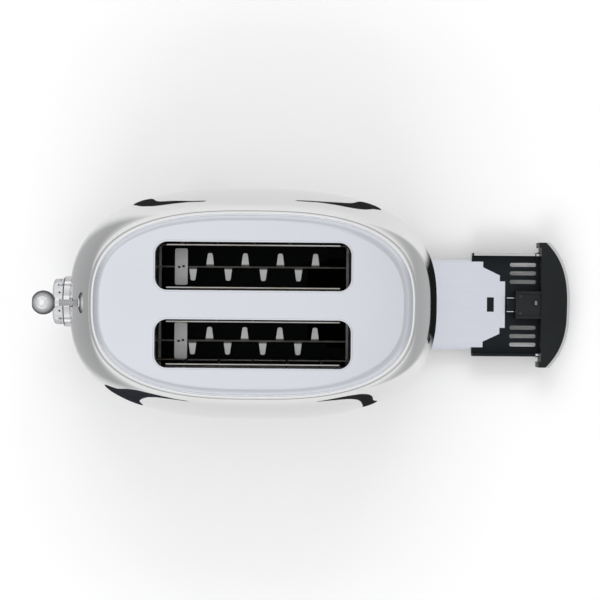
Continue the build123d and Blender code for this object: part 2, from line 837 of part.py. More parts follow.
# Potentiometer that the spindle turns
with BuildPart() as potentiometer:
    with BuildSketch(Plane.YZ.offset(potentiometer_front)):
        with Locations((0, dial_height)):
            Rectangle(potentiometer_size, potentiometer_size)
    extrude(amount=potentiometer_depth)
    with BuildSketch(Plane.YZ.offset(bush_front)):
        with Locations((0, dial_height)):
            Circle(bush_outer / 2)
    extrude(amount=bush_length_dial)
    with BuildSketch(Plane.YZ.offset(bush_front)):
        with Locations((0, dial_height)):
            Circle(spindle_diameter / 2 + spindle_clearance)
    extrude(amount=bush_length_dial + bush_blind_end + spindle_clearance, mode=Mode.SUBTRACT)
write(potentiometer.part, "potentiometer")

# Push buttons
for (button_y, button_z), name in zip(button_spots, ("reheat", "cancel", "defrost", "bagel")):
    with BuildPart() as button:
        with BuildSketch(Plane.YZ.offset(button_front)):
            with Locations((button_y, button_z)):
                Circle(button_diameter / 2)
        extrude(amount=button_back - button_front)
        fillet(button.faces().sort_by(Axis.X)[0].edges(), button_edge)
        with BuildSketch(Plane.YZ.offset(button_flange_at)):
            with Locations((button_y, button_z)):
                Circle(button_flange_diameter / 2)
        extrude(amount=button_flange)
    write(button.part, f"button_{name}")

with BuildPart() as button_switches:
    with BuildSketch(Plane.YZ.offset(board_at - switch_depth)):
        with Locations(*button_spots):
            Rectangle(switch_size, switch_size)
    extrude(amount=switch_depth)
write(button_switches.part, "button_switches")

# Circuit board and the holder it stands in
with BuildPart() as circuit_board:
    with BuildSketch(Plane.YZ.offset(board_at)):
        with Locations((0, (board_bottom + board_top) / 2)):
            Rectangle(board_width, board_top - board_bottom)
    extrude(amount=board_thickness)
write(circuit_board.part, "circuit_board")

with BuildPart() as board_holder:
    with BuildSketch(Plane.XY.offset(deck_top)):
        with Locations((board_at + board_thickness / 2, 0)):
            Rectangle(holder_width, board_width + 2 * holder_end)
    extrude(amount=holder_height)
    with BuildSketch(Plane.XY.offset(board_bottom)):
        with Locations((board_at + board_thickness / 2, 0)):
            Rectangle(board_thickness, board_width)
    extrude(amount=board_groove, mode=Mode.SUBTRACT)
write(board_holder.part, "board_holder")

# Rails that carry the crumb tray
strip_inner = (runner_spacing - runner_width) / 2
with BuildPart() as tray_rails:
    for side in (1, -1):
        with BuildSketch(Plane.XY.offset(floor_level)):
            with Locations(((rail_inner_end + rail_outer_end) / 2, side * (strip_inner + rail_outer) / 2)):
                Rectangle(rail_outer_end - rail_inner_end, rail_outer - strip_inner)
        extrude(amount=rail_floor)
        with BuildSketch(Plane.XY.offset(floor_level)):
            with Locations(((rail_inner_end + guide_start) / 2, side * (rail_inner + rail_wall / 2))):
                Rectangle(guide_start - rail_inner_end, rail_wall)
            with Locations(((guide_start + rail_outer_end) / 2, side * (rail_outer - rail_wall / 2))):
                Rectangle(rail_outer_end - guide_start, rail_wall)
        extrude(amount=rail_height)
        with BuildSketch(Plane.XY.offset(floor_level + rail_height - rail_floor)):
            lip_middle = rail_inner + rail_wall - rail_lip / 2
            with Locations(((rail_inner_end + guide_start) / 2, side * lip_middle)):
                Rectangle(guide_start - rail_inner_end, rail_lip)
        extrude(amount=rail_floor)
write(tray_rails.part, "tray_rails")

# Catch that the tray's latch meets when the tray is home
with BuildPart() as tray_catch:
    with BuildSketch(Plane.XY.offset(catch_bottom)):
        with Locations((bail_front - tray_pull - tray_clearance - catch_thickness / 2, 0)):
            Rectangle(catch_thickness, catch_width)
    extrude(amount=base_top - catch_bottom)
write(tray_catch.part, "tray_catch")

# Cord gland
with BuildPart() as cord_gland:
    with BuildSketch(Plane.XZ.offset(-base_width / 2 - gland_flange)):
        with Locations((gland_at, gland_height)):
            Circle(gland_flange_diameter / 2)
    extrude(amount=gland_flange)
    with BuildSketch(Plane.XZ.offset(-base_width / 2)):
        with Locations((gland_at, gland_height)):
            Circle(gland_diameter / 2)
    extrude(amount=gland_length)
    with BuildSketch(Plane.XZ.offset(-base_width / 2 - gland_flange)):
        with Locations((gland_at, gland_height)):
            Circle(gland_bore / 2)
    extrude(amount=gland_flange + gland_length, mode=Mode.SUBTRACT)
write(cord_gland.part, "cord_gland")

# Tray frame: floor with slots, side walls, and runners under the crumb sheet
with BuildPart() as tray_frame:
    with BuildSketch(Plane.XY.offset(runner_bottom)):
        with Locations(((tray_front + cap_back) / 2, 0)):
            Rectangle(cap_back - tray_front, tray_width)
        with Locations(((runner_end + tray_front) / 2, 0)):
            with GridLocations(0, runner_spacing, 1, 2):
                Rectangle(tray_front - runner_end, runner_width)
    extrude(amount=tray_floor)
    with BuildSketch(Plane.XY.offset(runner_bottom)):
        with Locations(((tray_front + tray_wall_end) / 2, 0)):
            with GridLocations(0, tray_width - tray_wall, 1, 2):
                Rectangle(tray_wall_end - tray_front, tray_wall)
    extrude(amount=tray_wall_height)
    with BuildSketch(Plane.XY.offset(runner_bottom)):
        for side in (1, -1):
            for number in range(tray_slot_count):
                with Locations((tray_slot_at, side * (tray_slot_first + number * tray_slot_pitch))):
                    SlotOverall(tray_slot_length, tray_slot_width)
    extrude(amount=tray_floor, mode=Mode.SUBTRACT)
write(tray_frame.part, "tray_frame")

# Crumb sheet, narrowed in steps towards the cap
step_1 = sheet_end - sheet_step_1[0]
step_2 = sheet_end - sheet_step_2[0]
step_3 = sheet_end - sheet_step_3[0]
half_outline = [
    (runner_end, sheet_half_width),
    (step_1, sheet_half_width),
    (step_1, sheet_step_1[1]),
    (step_2, sheet_step_1[1]),
    (step_2, sheet_step_2[1]),
    (step_3, sheet_step_3[1]),
    (step_3, sheet_end_half_width),
    (sheet_end, sheet_end_half_width),
]
with BuildPart() as crumb_sheet:
    with BuildSketch(Plane.XY.offset(tray_top)):
        with BuildLine():
            Polyline(*half_outline, *[(x, -y) for x, y in reversed(half_outline)], close=True)
        make_face()
        with Locations((sheet_hole_at, 0)):
            Rectangle(sheet_hole_length, sheet_hole_width, mode=Mode.SUBTRACT)
    extrude(amount=sheet_thickness)
    with BuildSketch(Plane.XY.offset(tray_top)):
        with Locations(((runner_end + step_1) / 2, 0)):
            with GridLocations(0, 2 * sheet_half_width - sheet_thickness, 1, 2):
                Rectangle(step_1 - runner_end, sheet_thickness)
        with Locations((runner_end + sheet_thickness / 2, 0)):
            Rectangle(sheet_thickness, 2 * sheet_half_width)
    extrude(amount=sheet_flange)
write(crumb_sheet.part, "crumb_sheet")

# Tray cap and its bright edge, which continue the base band when the tray is home
cap_plane = Plane(origin=(tray_pull, 0, cap_bottom))
with BuildPart() as tray_cap:
    with BuildSketch(cap_plane):
        rounded_outline(base_length / 2 - cap_trim, base_width / 2 - cap_trim)
        with Locations((cap_back - tray_pull + base_length / 2, 0)):
            Rectangle(base_length, cap_width, mode=Mode.INTERSECT)
        with Locations((cap_back - tray_pull - cap_ear_length / 2, 0)):
            with GridLocations(0, cap_width - cap_ear_width, 1, 2):
                Rectangle(cap_ear_length, cap_ear_width)
    extrude(amount=cap_height)
write(tray_cap.part, "tray_cap")

with BuildPart() as tray_cap_trim:
    with BuildSketch(cap_plane):
        rounded_outline(base_length / 2, base_width / 2)
        with Locations((cap_back - tray_pull + base_length / 2, 0)):
            Rectangle(base_length, cap_width, mode=Mode.INTERSECT)
    extrude(amount=cap_height)
    with BuildSketch(cap_plane):
        rounded_outline(base_length / 2 - cap_trim, base_width / 2 - cap_trim)
    extrude(amount=cap_height, mode=Mode.SUBTRACT)
write(tray_cap_trim.part, "tray_cap_trim")

# Pins beside the cap's ears
with BuildPart() as tray_pins:
    with BuildSketch(Plane.YZ.offset(tray_wall_end)):
        with Locations((0, runner_bottom + tray_wall_height - pin_diameter / 2)):
            with GridLocations(tray_width - tray_wall, 0, 2, 1):
                Circle(pin_diameter / 2)
    extrude(amount=cap_back - tray_wall_end)
write(tray_pins.part, "tray_pins")

# Latch box, open towards the sheet, with a sliding plunger inside and a cover on top
cavity_end = plunger_back + plunger_travel + plunger_clearance
with BuildPart() as latch_box:
    with BuildSketch(Plane.XY.offset(tray_top)):
        with Locations(((box_front + cap_back) / 2, 0)):
            Rectangle(cap_back - box_front, box_width)
    extrude(amount=box_height)
    with BuildSketch(Plane.XY.offset(cavity_bottom)):
        with Locations(((box_front + cavity_end) / 2, 0)):
            Rectangle(cavity_end - box_front, tail_width + 2 * plunger_clearance)
    extrude(amount=cavity_height, mode=Mode.SUBTRACT)
write(latch_box.part, "latch_box")

with BuildPart() as latch_cover:
    with BuildSketch(Plane.XY.offset(tray_top + box_height)):
        with Locations(((box_front + cap_back) / 2, 0)):
            Rectangle(cap_back - box_front, box_width)
    extrude(amount=cover_thickness)
    with BuildSketch(Plane.XY.offset(tray_top + box_height + cover_thickness)):
        with Locations(((box_front + cap_back) / 2, 0)):
            with GridLocations(0, box_width - cover_rail, 1, 2):
                Rectangle(cap_back - box_front, cover_rail)
    extrude(amount=cover_thickness)
write(latch_cover.part, "latch_cover")

with BuildPart() as latch_plunger:
    with BuildSketch(Plane.XY.offset(plunger_bottom)):
        with Locations(((plunger_front + plunger_back) / 2, 0)):
            Rectangle(plunger_back - plunger_front, plunger_width)
        with Locations((plunger_back - plunger_tail / 2, 0)):
            Rectangle(plunger_tail, tail_width)
    extrude(amount=plunger_height)
    with BuildSketch(Plane.YZ.offset(bail_front)):
        with Locations((0, plunger_bottom + plunger_height / 2)):
            with GridLocations(bail_spacing, 0, 2, 1):
                Circle(bail_wire / 2)
    extrude(amount=plunger_back - plunger_tail - bail_front)
write(latch_plunger.part, "latch_plunger")
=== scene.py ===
"""Two-slice toaster: studio, finishes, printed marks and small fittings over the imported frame."""

import logging
from dataclasses import dataclass
from enum import Enum
from math import cos, pi, radians, sin
from typing import Callable

import bpy
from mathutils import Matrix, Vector


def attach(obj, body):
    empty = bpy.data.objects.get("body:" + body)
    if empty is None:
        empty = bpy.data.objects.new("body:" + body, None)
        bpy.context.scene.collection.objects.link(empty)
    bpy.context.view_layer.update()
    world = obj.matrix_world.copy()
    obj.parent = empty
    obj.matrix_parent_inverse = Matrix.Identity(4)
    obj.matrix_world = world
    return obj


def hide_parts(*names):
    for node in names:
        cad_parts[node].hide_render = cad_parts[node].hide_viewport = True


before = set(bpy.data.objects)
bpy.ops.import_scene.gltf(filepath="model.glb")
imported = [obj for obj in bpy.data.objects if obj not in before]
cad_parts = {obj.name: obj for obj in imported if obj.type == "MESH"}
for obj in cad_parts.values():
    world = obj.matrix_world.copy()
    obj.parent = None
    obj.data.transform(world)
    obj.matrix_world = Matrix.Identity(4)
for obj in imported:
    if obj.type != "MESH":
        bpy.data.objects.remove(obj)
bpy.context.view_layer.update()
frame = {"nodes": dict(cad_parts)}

LOG = logging.getLogger("toaster")
MM = 0.001
GRAIN_ALONG_X = (14.0, 900.0, 900.0)
FACING_UP = 0.9
WHITE = (1.0, 1.0, 1.0, 1.0)
DIAL_Z = 56.0 * MM
BUTTON_OUT = 29.13 * MM
BUTTON_UP = 10.6 * MM
RACK_Y = 30.25 * MM
SIDES = ((1, "rear"), (-1, "front"))
Colour = tuple[float, float, float]
Socket = bpy.types.NodeSocket
Tree = bpy.types.NodeTree
Piece = bpy.types.Object
Material = bpy.types.Material


class Body(Enum):
    """The moving bodies that new pieces ride on."""

    HOUSING = "housing"
    CARRIAGE = "carriage"
    DIAL = "dial_knob"
    REHEAT = "reheat_button"
    CANCEL = "cancel_button"
    DEFROST = "defrost_button"
    BAGEL = "bagel_button"
    TRAY = "tray"
    LATCH = "latch"


def add_node(tree: Tree, kind: str, links: dict | None = None, values: dict | None = None,
             **settings: str | bool) -> bpy.types.Node:
    """Adds a shader node.

    Args:
        tree: the node tree.
        kind: the node's type, less the word that all shader nodes start with.
        links: what feeds its inputs.
        values: plain values of its inputs.
        settings: its own settings.

    Returns:
        The node.
    """
    node = tree.nodes.new(f"ShaderNode{kind}")
    for setting, value in settings.items():
        setattr(node, setting, value)
    for socket, source in (links or {}).items():
        tree.links.new(source, node.inputs[socket])
    for socket, value in (values or {}).items():
        node.inputs[socket].default_value = value
    return node


def calculate(tree: Tree, operation: str, first: Socket | float, second: Socket | float = 0.0,
              clamp: bool = False) -> Socket:
    """The result of a calculation with one or two values.

    Args:
        tree: the node tree.
        operation: which calculation.
        first: a linked or plain value.
        second: another one, where the calculation takes two.
        clamp: whether the result stays between 0 and 1.

    Returns:
        The result.
    """
    node = add_node(tree, "Math", operation=operation, use_clamp=clamp)
    for number, value in enumerate((first, second)):
        if isinstance(value, float):
            node.inputs[number].default_value = value
        else:
            tree.links.new(value, node.inputs[number])
    return node.outputs["Value"]


def map_range(tree: Tree, value: Socket, source: tuple, target: tuple, kind: str = "LINEAR") -> Socket:
    """Maps a value from its source range onto a target range, LINEAR or SMOOTHSTEP."""
    values = {"From Min": source[0], "From Max": source[1], "To Min": target[0], "To Max": target[1]}
    return add_node(tree, "MapRange", {"Value": value}, values, interpolation_type=kind).outputs["Result"]


def axis_part(tree: Tree, vector: Socket, axis: str) -> Socket:
    """One part, X, Y or Z, of a vector."""
    return add_node(tree, "SeparateXYZ", {"Vector": vector}).outputs[axis]


def tint(colour: Colour, factor: float) -> Colour:
    """The colour made lighter or darker by a factor."""
    return tuple(min(1.0, part * factor) for part in colour)


class Recipe:
    """A node material under construction, with short calls for the nodes that the finishes share."""

    def __init__(self, name: str) -> None:
        """Starts a material with a shader and object coordinates.

        Args:
            name: the material's name.
        """
        self.material = bpy.data.materials.new(name)
        self.material.use_nodes = True
        self.tree = self.material.node_tree
        self.tree.nodes.clear()
        self.shader = add_node(self.tree, "BsdfPrincipled")
        add_node(self.tree, "OutputMaterial", {"Surface": self.shader.outputs["BSDF"]})
        self.place = add_node(self.tree, "TexCoord").outputs["Object"]

    def set(self, socket: str, value: float) -> None:
        """Sets a plain value on the shader's own socket."""
        self.shader.inputs[socket].default_value = value

    def feed(self, socket: str, source: Socket) -> None:
        """Links a node's output to one of the shader's sockets."""
        self.tree.links.new(source, self.shader.inputs[socket])

    def wear(self, colour: Socket, rough: Socket, normal: Socket, metallic: float = 1.0) -> None:
        """Feeds the shader what nearly every finish does.

        Args:
            colour: its colour.
            rough: its roughness.
            normal: its bumps.
            metallic: how metallic it is.
        """
        self.feed("Base Color", colour)
        self.feed("Roughness", rough)
        self.feed("Normal", normal)
        self.set("Metallic", metallic)

    def stretched(self, scale: tuple) -> Socket:
        """Object coordinates stretched by a factor along each axis."""
        return add_node(self.tree, "Mapping", {"Vector": self.place}, {"Scale": scale}).outputs["Vector"]

    def noise(self, vector: Socket, scale: float, detail: float = 4.0, roughness: float = 0.5) -> Socket:
        """A noise's value, with its waves per metre, its octaves and the share of the fine ones."""
        values = {"Scale": scale, "Detail": detail, "Roughness": roughness}
        return add_node(self.tree, "TexNoise", {"Vector": vector}, values).outputs["Fac"]

    def hair(self, scale: float = 2.0) -> Socket:
        """The value of a fine straight grain along X."""
        return self.noise(self.stretched(GRAIN_ALONG_X), scale, 6.0, 0.65)

    def spangle(self, vector: Socket, scale: float) -> Socket:
        """A flat grey for each cell of a cell texture."""
        cells = add_node(self.tree, "TexVoronoi", {"Vector": vector}, {"Scale": scale})
        return add_node(self.tree, "SeparateColor", {"Color": cells.outputs["Color"]}).outputs["Red"]

    def bands(self, scale: float) -> Socket:
        """The value of band waves up the Z axis."""
        return add_node(self.tree, "TexWave", {"Vector": self.place}, {"Scale": scale},
                        wave_type="BANDS", bands_direction="Z").outputs["Fac"]

    def spread(self, value: Socket, low: float, high: float, start: float = 0.3, end: float = 0.7) -> Socket:
        """Maps a value that runs from start to end onto low to high."""
        return map_range(self.tree, value, (start, end), (low, high))

    def ramp(self, value: Socket, stops: list[tuple[float, Colour]]) -> Socket:
        """Colours along a value.

        Args:
            value: the value.
            stops: (place, colour) pairs in order.

        Returns:
            The colour.
        """
        node = add_node(self.tree, "ValToRGB", {"Fac": value})
        elements = node.color_ramp.elements
        while len(elements) < len(stops):
            elements.new(0.5)
        for element, (place, colour) in zip(elements, stops):
            element.position = place
            element.color = (*colour, 1.0)
        return node.outputs["Color"]

    def shades(self, value: Socket, colour: Colour, low: float, high: float, start: float = 0.3,
               end: float = 0.7) -> Socket:
        """One colour along a value, from its tint by low at start to its tint by high at end."""
        return self.ramp(value, [(start, tint(colour, low)), (end, tint(colour, high))])

    def blend(self, value: Socket, first: Socket, second: Socket) -> Socket:
        """Mixes two colours by a value."""
        links = {"Factor": value, 6: first, 7: second}
        return add_node(self.tree, "Mix", links, data_type="RGBA").outputs[2]

    def relief(self, height: Socket, depth: float, strength: float = 0.5) -> Socket:
        """A bump from a height value, so many metres deep, of which a share shows."""
        values = {"Distance": depth, "Strength": strength}
        return add_node(self.tree, "Bump", {"Height": height}, values).outputs["Normal"]


@dataclass(frozen=True)
class Finish:
    """A procedural finish, with its material's name and main colour."""

    name: str
    colour: Colour

    def paint(self, recipe: Recipe) -> None:
        """Feeds the recipe's shader, each kind of finish in its own way."""
        raise NotImplementedError

    def make(self) -> Material:
        """Builds the material."""
        recipe = Recipe(self.name)
        self.paint(recipe)
        return recipe.material


@dataclass(frozen=True)
class Mirror(Finish):
    """Polished or chromed metal: faint smears in the gloss and a trace of waviness."""

    gloss: float = 0.05
    smear: float = 0.05
    wave: float = 0.0000004

    def paint(self, recipe: Recipe) -> None:
        """Feeds the smears and the waviness."""
        soft = recipe.noise(recipe.place, 22.0, 3.0, 0.4)
        fine = recipe.noise(recipe.stretched((60, 420, 420)), 1.0, 6.0, 0.6)
        recipe.wear(recipe.shades(soft, self.colour, 0.975, 1.0, 0.35, 0.65),
                    recipe.spread(soft, self.gloss, self.gloss + self.smear),
                    recipe.relief(fine, self.wave))


@dataclass(frozen=True)
class Brushed(Finish):
    """Satin sheet with a fine straight grain."""

    rough: float = 0.3
    depth: float = 0.000004

    def paint(self, recipe: Recipe) -> None:
        """Feeds the grain and a cloud of duller metal."""
        hair = recipe.hair(2.2)
        cloud = recipe.noise(recipe.place, 14.0, 3.0, 0.5)
        light = recipe.shades(hair, self.colour, 0.955, 1.03)
        dull = recipe.shades(cloud, self.colour, 0.97, 1.02)
        recipe.wear(recipe.blend(recipe.spread(cloud, 0.35, 0.65), light, dull),
                    recipe.spread(hair, self.rough - 0.04, self.rough + 0.06),
                    recipe.relief(hair, self.depth, 0.6))


@dataclass(frozen=True)
class ToastedSheet(Finish):
    """Satin sheet, nearly black up to a line across it: heat browning and painted shade of the toaster's
    interior.
    """

    brown: Colour
    start: float
    end: float
    rough: float = 0.36

    def paint(self, recipe: Recipe) -> None:
        """Feeds the dark part, heat browning and painted shade, and the clean one."""
        hair = recipe.hair()
        cloud = recipe.noise(recipe.place, 60.0, 4.0, 0.6)
        clean = recipe.shades(hair, self.colour, 0.97, 1.02)
        # nearly black part inside the toaster: heat browning and painted shade of the interior
        burnt_and_shaded = recipe.shades(cloud, self.brown, 0.6, 1.0)
        along = axis_part(recipe.tree, recipe.place, "X")
        share = recipe.spread(along, 0.0, 1.0, self.start, self.end)
        recipe.wear(recipe.blend(share, burnt_and_shaded, clean),
                    recipe.spread(along, 0.75, self.rough, self.start, self.end),
                    recipe.relief(hair, 0.000004))


@dataclass(frozen=True)
class RackSteel(Finish):
    """Satin bread rack, darker along the strip between its teeth."""

    soot: Colour
    half_strip: float = 1.4 * MM
    edge: float = 1.0 * MM

    def paint(self, recipe: Recipe) -> None:
        """Feeds the darker strip and the teeth."""
        hair = recipe.hair()
        clean = recipe.shades(hair, self.colour, 0.96, 1.03)
        cloud = recipe.noise(recipe.place, 90.0, 4.0, 0.6)
        # darker colour along the strip between the teeth
        dark = recipe.shades(cloud, self.soot, 0.7, 1.2)
        side = calculate(recipe.tree, "ABSOLUTE", axis_part(recipe.tree, recipe.place, "Y"))
        across = calculate(recipe.tree, "ABSOLUTE", calculate(recipe.tree, "SUBTRACT", side, RACK_Y))
        share = recipe.spread(across, 0.0, 1.0, self.half_strip, self.half_strip + self.edge)
        recipe.wear(recipe.blend(share, dark, clean), recipe.spread(share, 0.6, 0.36, 0.0, 1.0),
                    recipe.relief(hair, 0.000004))


@dataclass(frozen=True)
class Zinc(Finish):
    """Plain plated sheet with a faint spangle, browned where asked by heat tint and painted shade of the
    toaster's interior.
    """

    heat: float = 0.0
    rough: float = 0.42

    def paint(self, recipe: Recipe) -> None:
        """Feeds the spangle and the brown cloud of heat tint and painted shade."""
        flake = recipe.spangle(recipe.place, 160.0)
        cloud = recipe.noise(recipe.place, 18.0, 5.0, 0.6)
        cold = recipe.shades(flake, self.colour, 0.9, 1.08, 0.0, 1.0)
        brown = tuple(part * share for part, share in zip(self.colour, (0.62, 0.5, 0.4)))
        # heat tint and painted shade of the toaster's interior
        hot_and_shaded = recipe.shades(cloud, brown, 0.7, 1.0)
        recipe.wear(recipe.blend(recipe.spread(cloud, self.heat * 0.6, self.heat), cold, hot_and_shaded),
                    recipe.spread(flake, self.rough - 0.06, self.rough + 0.08, 0.0, 1.0),
                    recipe.relief(cloud, 0.00001, 0.4))


@dataclass(frozen=True)
class Wire(Finish):
    """Drawn wire with die lines and a trace of straw colour from the heat."""

    straw: Colour
    rough: float = 0.24

    def paint(self, recipe: Recipe) -> None:
        """Feeds the die lines and the straw colour."""
        line = recipe.noise(recipe.stretched((40, 1400, 1400)), 1.0, 4.0, 0.6)
        patch = recipe.noise(recipe.place, 35.0, 4.0, 0.6)
        recipe.wear(recipe.ramp(patch, [(0.35, self.straw), (0.6, self.colour)]),
                    recipe.spread(patch, self.rough + 0.12, self.rough),
                    recipe.relief(line, 0.000008))


@dataclass(frozen=True)
class Moulded(Finish):
    """Moulded plastic or rubber with a fine etched grain."""

    rough: float = 0.45
    grain: float = 1900.0
    depth: float = 0.00003
    shine: float = 0.3

    def paint(self, recipe: Recipe) -> None:
        """Feeds the etched grain and duller patches."""
        pebble = recipe.noise(recipe.place, self.grain, 3.0, 0.55)
        patch = recipe.noise(recipe.place, 26.0, 4.0, 0.55)
        recipe.wear(recipe.shades(patch, self.colour, 0.82, 1.2),
                    recipe.spread(patch, self.rough - 0.05, self.rough + 0.07),
                    recipe.relief(pebble, self.depth), 0.0)
        recipe.set("Specular IOR Level", self.shine)


@dataclass(frozen=True)
class Mica(Finish):
    """Pressed mica board: pale flakes pressed flat, darkened by heat tint and by painted shade of the
    toaster's interior.
    """

    def paint(self, recipe: Recipe) -> None:
        """Feeds the flakes and the cloud of heat tint and painted shade."""
        flake = recipe.spangle(recipe.place, 420.0)
        cloud = recipe.noise(recipe.place, 16.0, 4.0, 0.6)
        flakes = recipe.ramp(flake, [(0.0, tint(self.colour, 0.7)), (0.6, self.colour),
                                     (1.0, tint(self.colour, 1.3))])
        # dark cloud: heat tint and painted shade of the toaster's interior
        toast_and_shade = recipe.shades(cloud, self.colour, 0.45, 1.0, 0.35, 0.7)
        recipe.wear(recipe.blend(recipe.spread(cloud, 0.25, 0.7), flakes, toast_and_shade),
                    recipe.spread(flake, 0.35, 0.6, 0.0, 1.0), recipe.relief(flake, 0.00004), 0.0)


@dataclass(frozen=True)
class Winding(Finish):
    """Enamelled winding: fine turns of wire one above the other."""

    def paint(self, recipe: Recipe) -> None:
        """Feeds the turns."""
        turns = recipe.bands(480.0)
        recipe.wear(recipe.shades(turns, self.colour, 0.35, 1.0, 0.0, 0.6),
                    recipe.spread(turns, 0.5, 0.25, 0.0, 1.0), recipe.relief(turns, 0.0002, 0.8), 0.8)


@dataclass(frozen=True)
class CircuitBoard(Finish):
    """Coated board with tracks showing through the coat."""

    track: Colour

    def paint(self, recipe: Recipe) -> None:
        """Feeds the tracks and the dust on the coat."""
        run = recipe.spangle(recipe.stretched((1, 260, 90)), 1.0)
        tracks = recipe.ramp(run, [(0.62, self.colour), (0.66, self.track)])
        dust = recipe.noise(recipe.place, 90.0, 3.0, 0.5)
        dull = recipe.shades(dust, self.colour, 0.85, 1.0, 0.4, 0.7)
        recipe.wear(recipe.blend(recipe.spread(dust, 0.1, 0.4), tracks, dull),
                    recipe.spread(dust, 0.22, 0.36), recipe.relief(run, 0.00004, 0.6), 0.0)
        recipe.set("Coat Weight", 0.4)


@dataclass(frozen=True)
class Ink(Finish):
    """Printed or filled marks."""

    def paint(self, recipe: Recipe) -> None:
        """Feeds the ink's specks."""
        speck = recipe.noise(recipe.place, 3000.0, 2.0, 0.5)
        recipe.feed("Base Color", recipe.shades(speck, self.colour, 0.7, 1.3))
        recipe.feed("Roughness", recipe.spread(speck, 0.4, 0.6))


@dataclass
class FinishBook:
    """Every finish of the toaster, and which CAD node wears which."""

    shell: Mirror = Mirror("polished_shell", (0.7, 0.705, 0.7), 0.03, 0.03)
    plate: Brushed = Brushed("satin_plate", (0.735, 0.755, 0.81), 0.22)
    bright: Mirror = Mirror("bright_chrome", (0.86, 0.86, 0.87), 0.04, 0.04)
    ball: Mirror = Mirror("satin_chrome_ball", (0.95, 0.955, 0.97), 0.24, 0.03)
    knob: Mirror = Mirror("satin_chrome_dial", (0.86, 0.87, 0.89), 0.32, 0.06)
    rack: RackSteel = RackSteel("satin_rack", (0.56, 0.56, 0.56), (0.2, 0.195, 0.18))
    bracket: Brushed = Brushed("satin_bracket", (0.46, 0.46, 0.465), 0.36)
    # crumb sheet nearly black inside the toaster: heat browning and painted shade
    tray_sheet: ToastedSheet = ToastedSheet("crumb_sheet_metal", (0.87, 0.895, 0.985), (0.02, 0.016, 0.012),
                                            0.098, 0.118)
    zinc: Zinc = Zinc("plated_sheet", (0.5, 0.5, 0.5))
    # heat shields dark: heat tint and painted shade of the toaster's interior
    shield: Zinc = Zinc("heated_shaded_shield", (0.3, 0.3, 0.3), 0.8)
    wire: Wire = Wire("drawn_wire", (0.66, 0.66, 0.65), (0.54, 0.5, 0.42), 0.3)
    rod: Wire = Wire("ground_rod", (0.7, 0.7, 0.7), (0.64, 0.63, 0.6), 0.16)
    stem: Wire = Wire("lever_stem_metal", (0.45, 0.45, 0.47), (0.41, 0.41, 0.43), 0.2)
    spring: Wire = Wire("spring_wire", (0.46, 0.46, 0.47), (0.4, 0.38, 0.36), 0.3)
    ribbon: Wire = Wire("heater_ribbon", (0.42, 0.4, 0.38), (0.3, 0.26, 0.24), 0.42)
    screw: Zinc = Zinc("screw_steel", (0.55, 0.55, 0.54), 0.0, 0.3)
    # blackened screws; the same dark steel is painted shade on the rack tabs
    dark_screw: Zinc = Zinc("blackened_screw_and_painted_shade", (0.07, 0.07, 0.072), 0.0, 0.4)
    # mica boards dark: heat tint and painted shade of the toaster's interior
    mica: Mica = Mica("mica_board", (0.22, 0.19, 0.14))
    plastic: Moulded = Moulded("dark_plastic", (0.008, 0.011, 0.014), 0.45, shine=0.16)
    cap: Moulded = Moulded("dark_cap", (0.009, 0.011, 0.012), 0.38, shine=0.2)
    cover: Moulded = Moulded("latch_cover_plastic", (0.014, 0.016, 0.017), 0.4, shine=0.22)
    switch: Moulded = Moulded("switch_plastic", (0.5, 0.49, 0.46), 0.4)
    rubber: Moulded = Moulded("foot_rubber", (0.03, 0.03, 0.03), 0.8, 1200.0, 0.00006)
    winding: Winding = Winding("coil_winding", (0.72, 0.36, 0.18))
    board: CircuitBoard = CircuitBoard("board_coat", (0.03, 0.16, 0.06), (0.12, 0.34, 0.16))
    ink: Ink = Ink("mark_ink", (0.012, 0.012, 0.013))

    def wearers(self) -> dict[str, tuple]:
        """Which CAD nodes wear which finish.

        Returns:
            Finish field name to node names.
        """
        beside_slots = ("rear_outer", "rear_inner", "front_outer", "front_inner")
        return {
            "shell": ("outer_shell",),
            "plate": ("top_plate",),
            "ball": ("lever_ball",),
            "knob": ("dial",),
            "bright": ("top_trim_ring", "base_band", "dial_collar", "button_reheat", "button_cancel",
                       "button_defrost", "button_bagel", "tray_cap_trim", "tray_pins"),
            "rack": ("bread_rack_rear", "bread_rack_front"),
            "bracket": ("rack_cross_plates", "carriage_bracket"),
            "tray_sheet": ("crumb_sheet",),
            "zinc": ("chassis_floor", "control_end_plate", "tray_end_plate", "rod_brackets", "magnet_frame",
                     "keeper_plate", "tray_catch"),
            "shield": ("heat_shield_rear", "heat_shield_front"),
            "wire": tuple(f"guide_cage_{where}" for where in beside_slots),
            "rod": ("guide_rods", "dial_spindle"),
            "stem": ("lever_stem",),
            "spring": ("return_spring",),
            "ribbon": ("heater_ribbons",),
            "screw": ("foot_screws", "base_screws", "chassis_screws"),
            "mica": tuple(f"heater_board_{where}" for where in beside_slots),
            "plastic": ("base_plate", "board_holder", "potentiometer", "tray_rails", "tray_frame",
                        "latch_box", "latch_plunger", "cord_gland"),
            "cap": ("tray_cap",),
            "cover": ("latch_cover",),
            "switch": ("button_switches",),
            "rubber": ("feet",),
            "winding": ("magnet_coil",),
            "board": ("circuit_board",),
        }

    def dress(self, nodes: dict[str, Piece]) -> None:
        """Puts each finish on its CAD nodes and reports nodes that have none.

        Args:
            nodes: the frame's nodes by name.
        """
        worn = set()
        for field_name, names in self.wearers().items():
            material = getattr(self, field_name).make()
            for name in names:
                holder = nodes[name]
                if not holder.material_slots:
                    holder.data.materials.append(material)
                for place in holder.material_slots:
                    place.material = material
                worn.add(name)
                LOG.info("node %s wears %s", name, material.name)
        for name in sorted(set(nodes) - worn):
            LOG.warning("node %s has no finish", name)


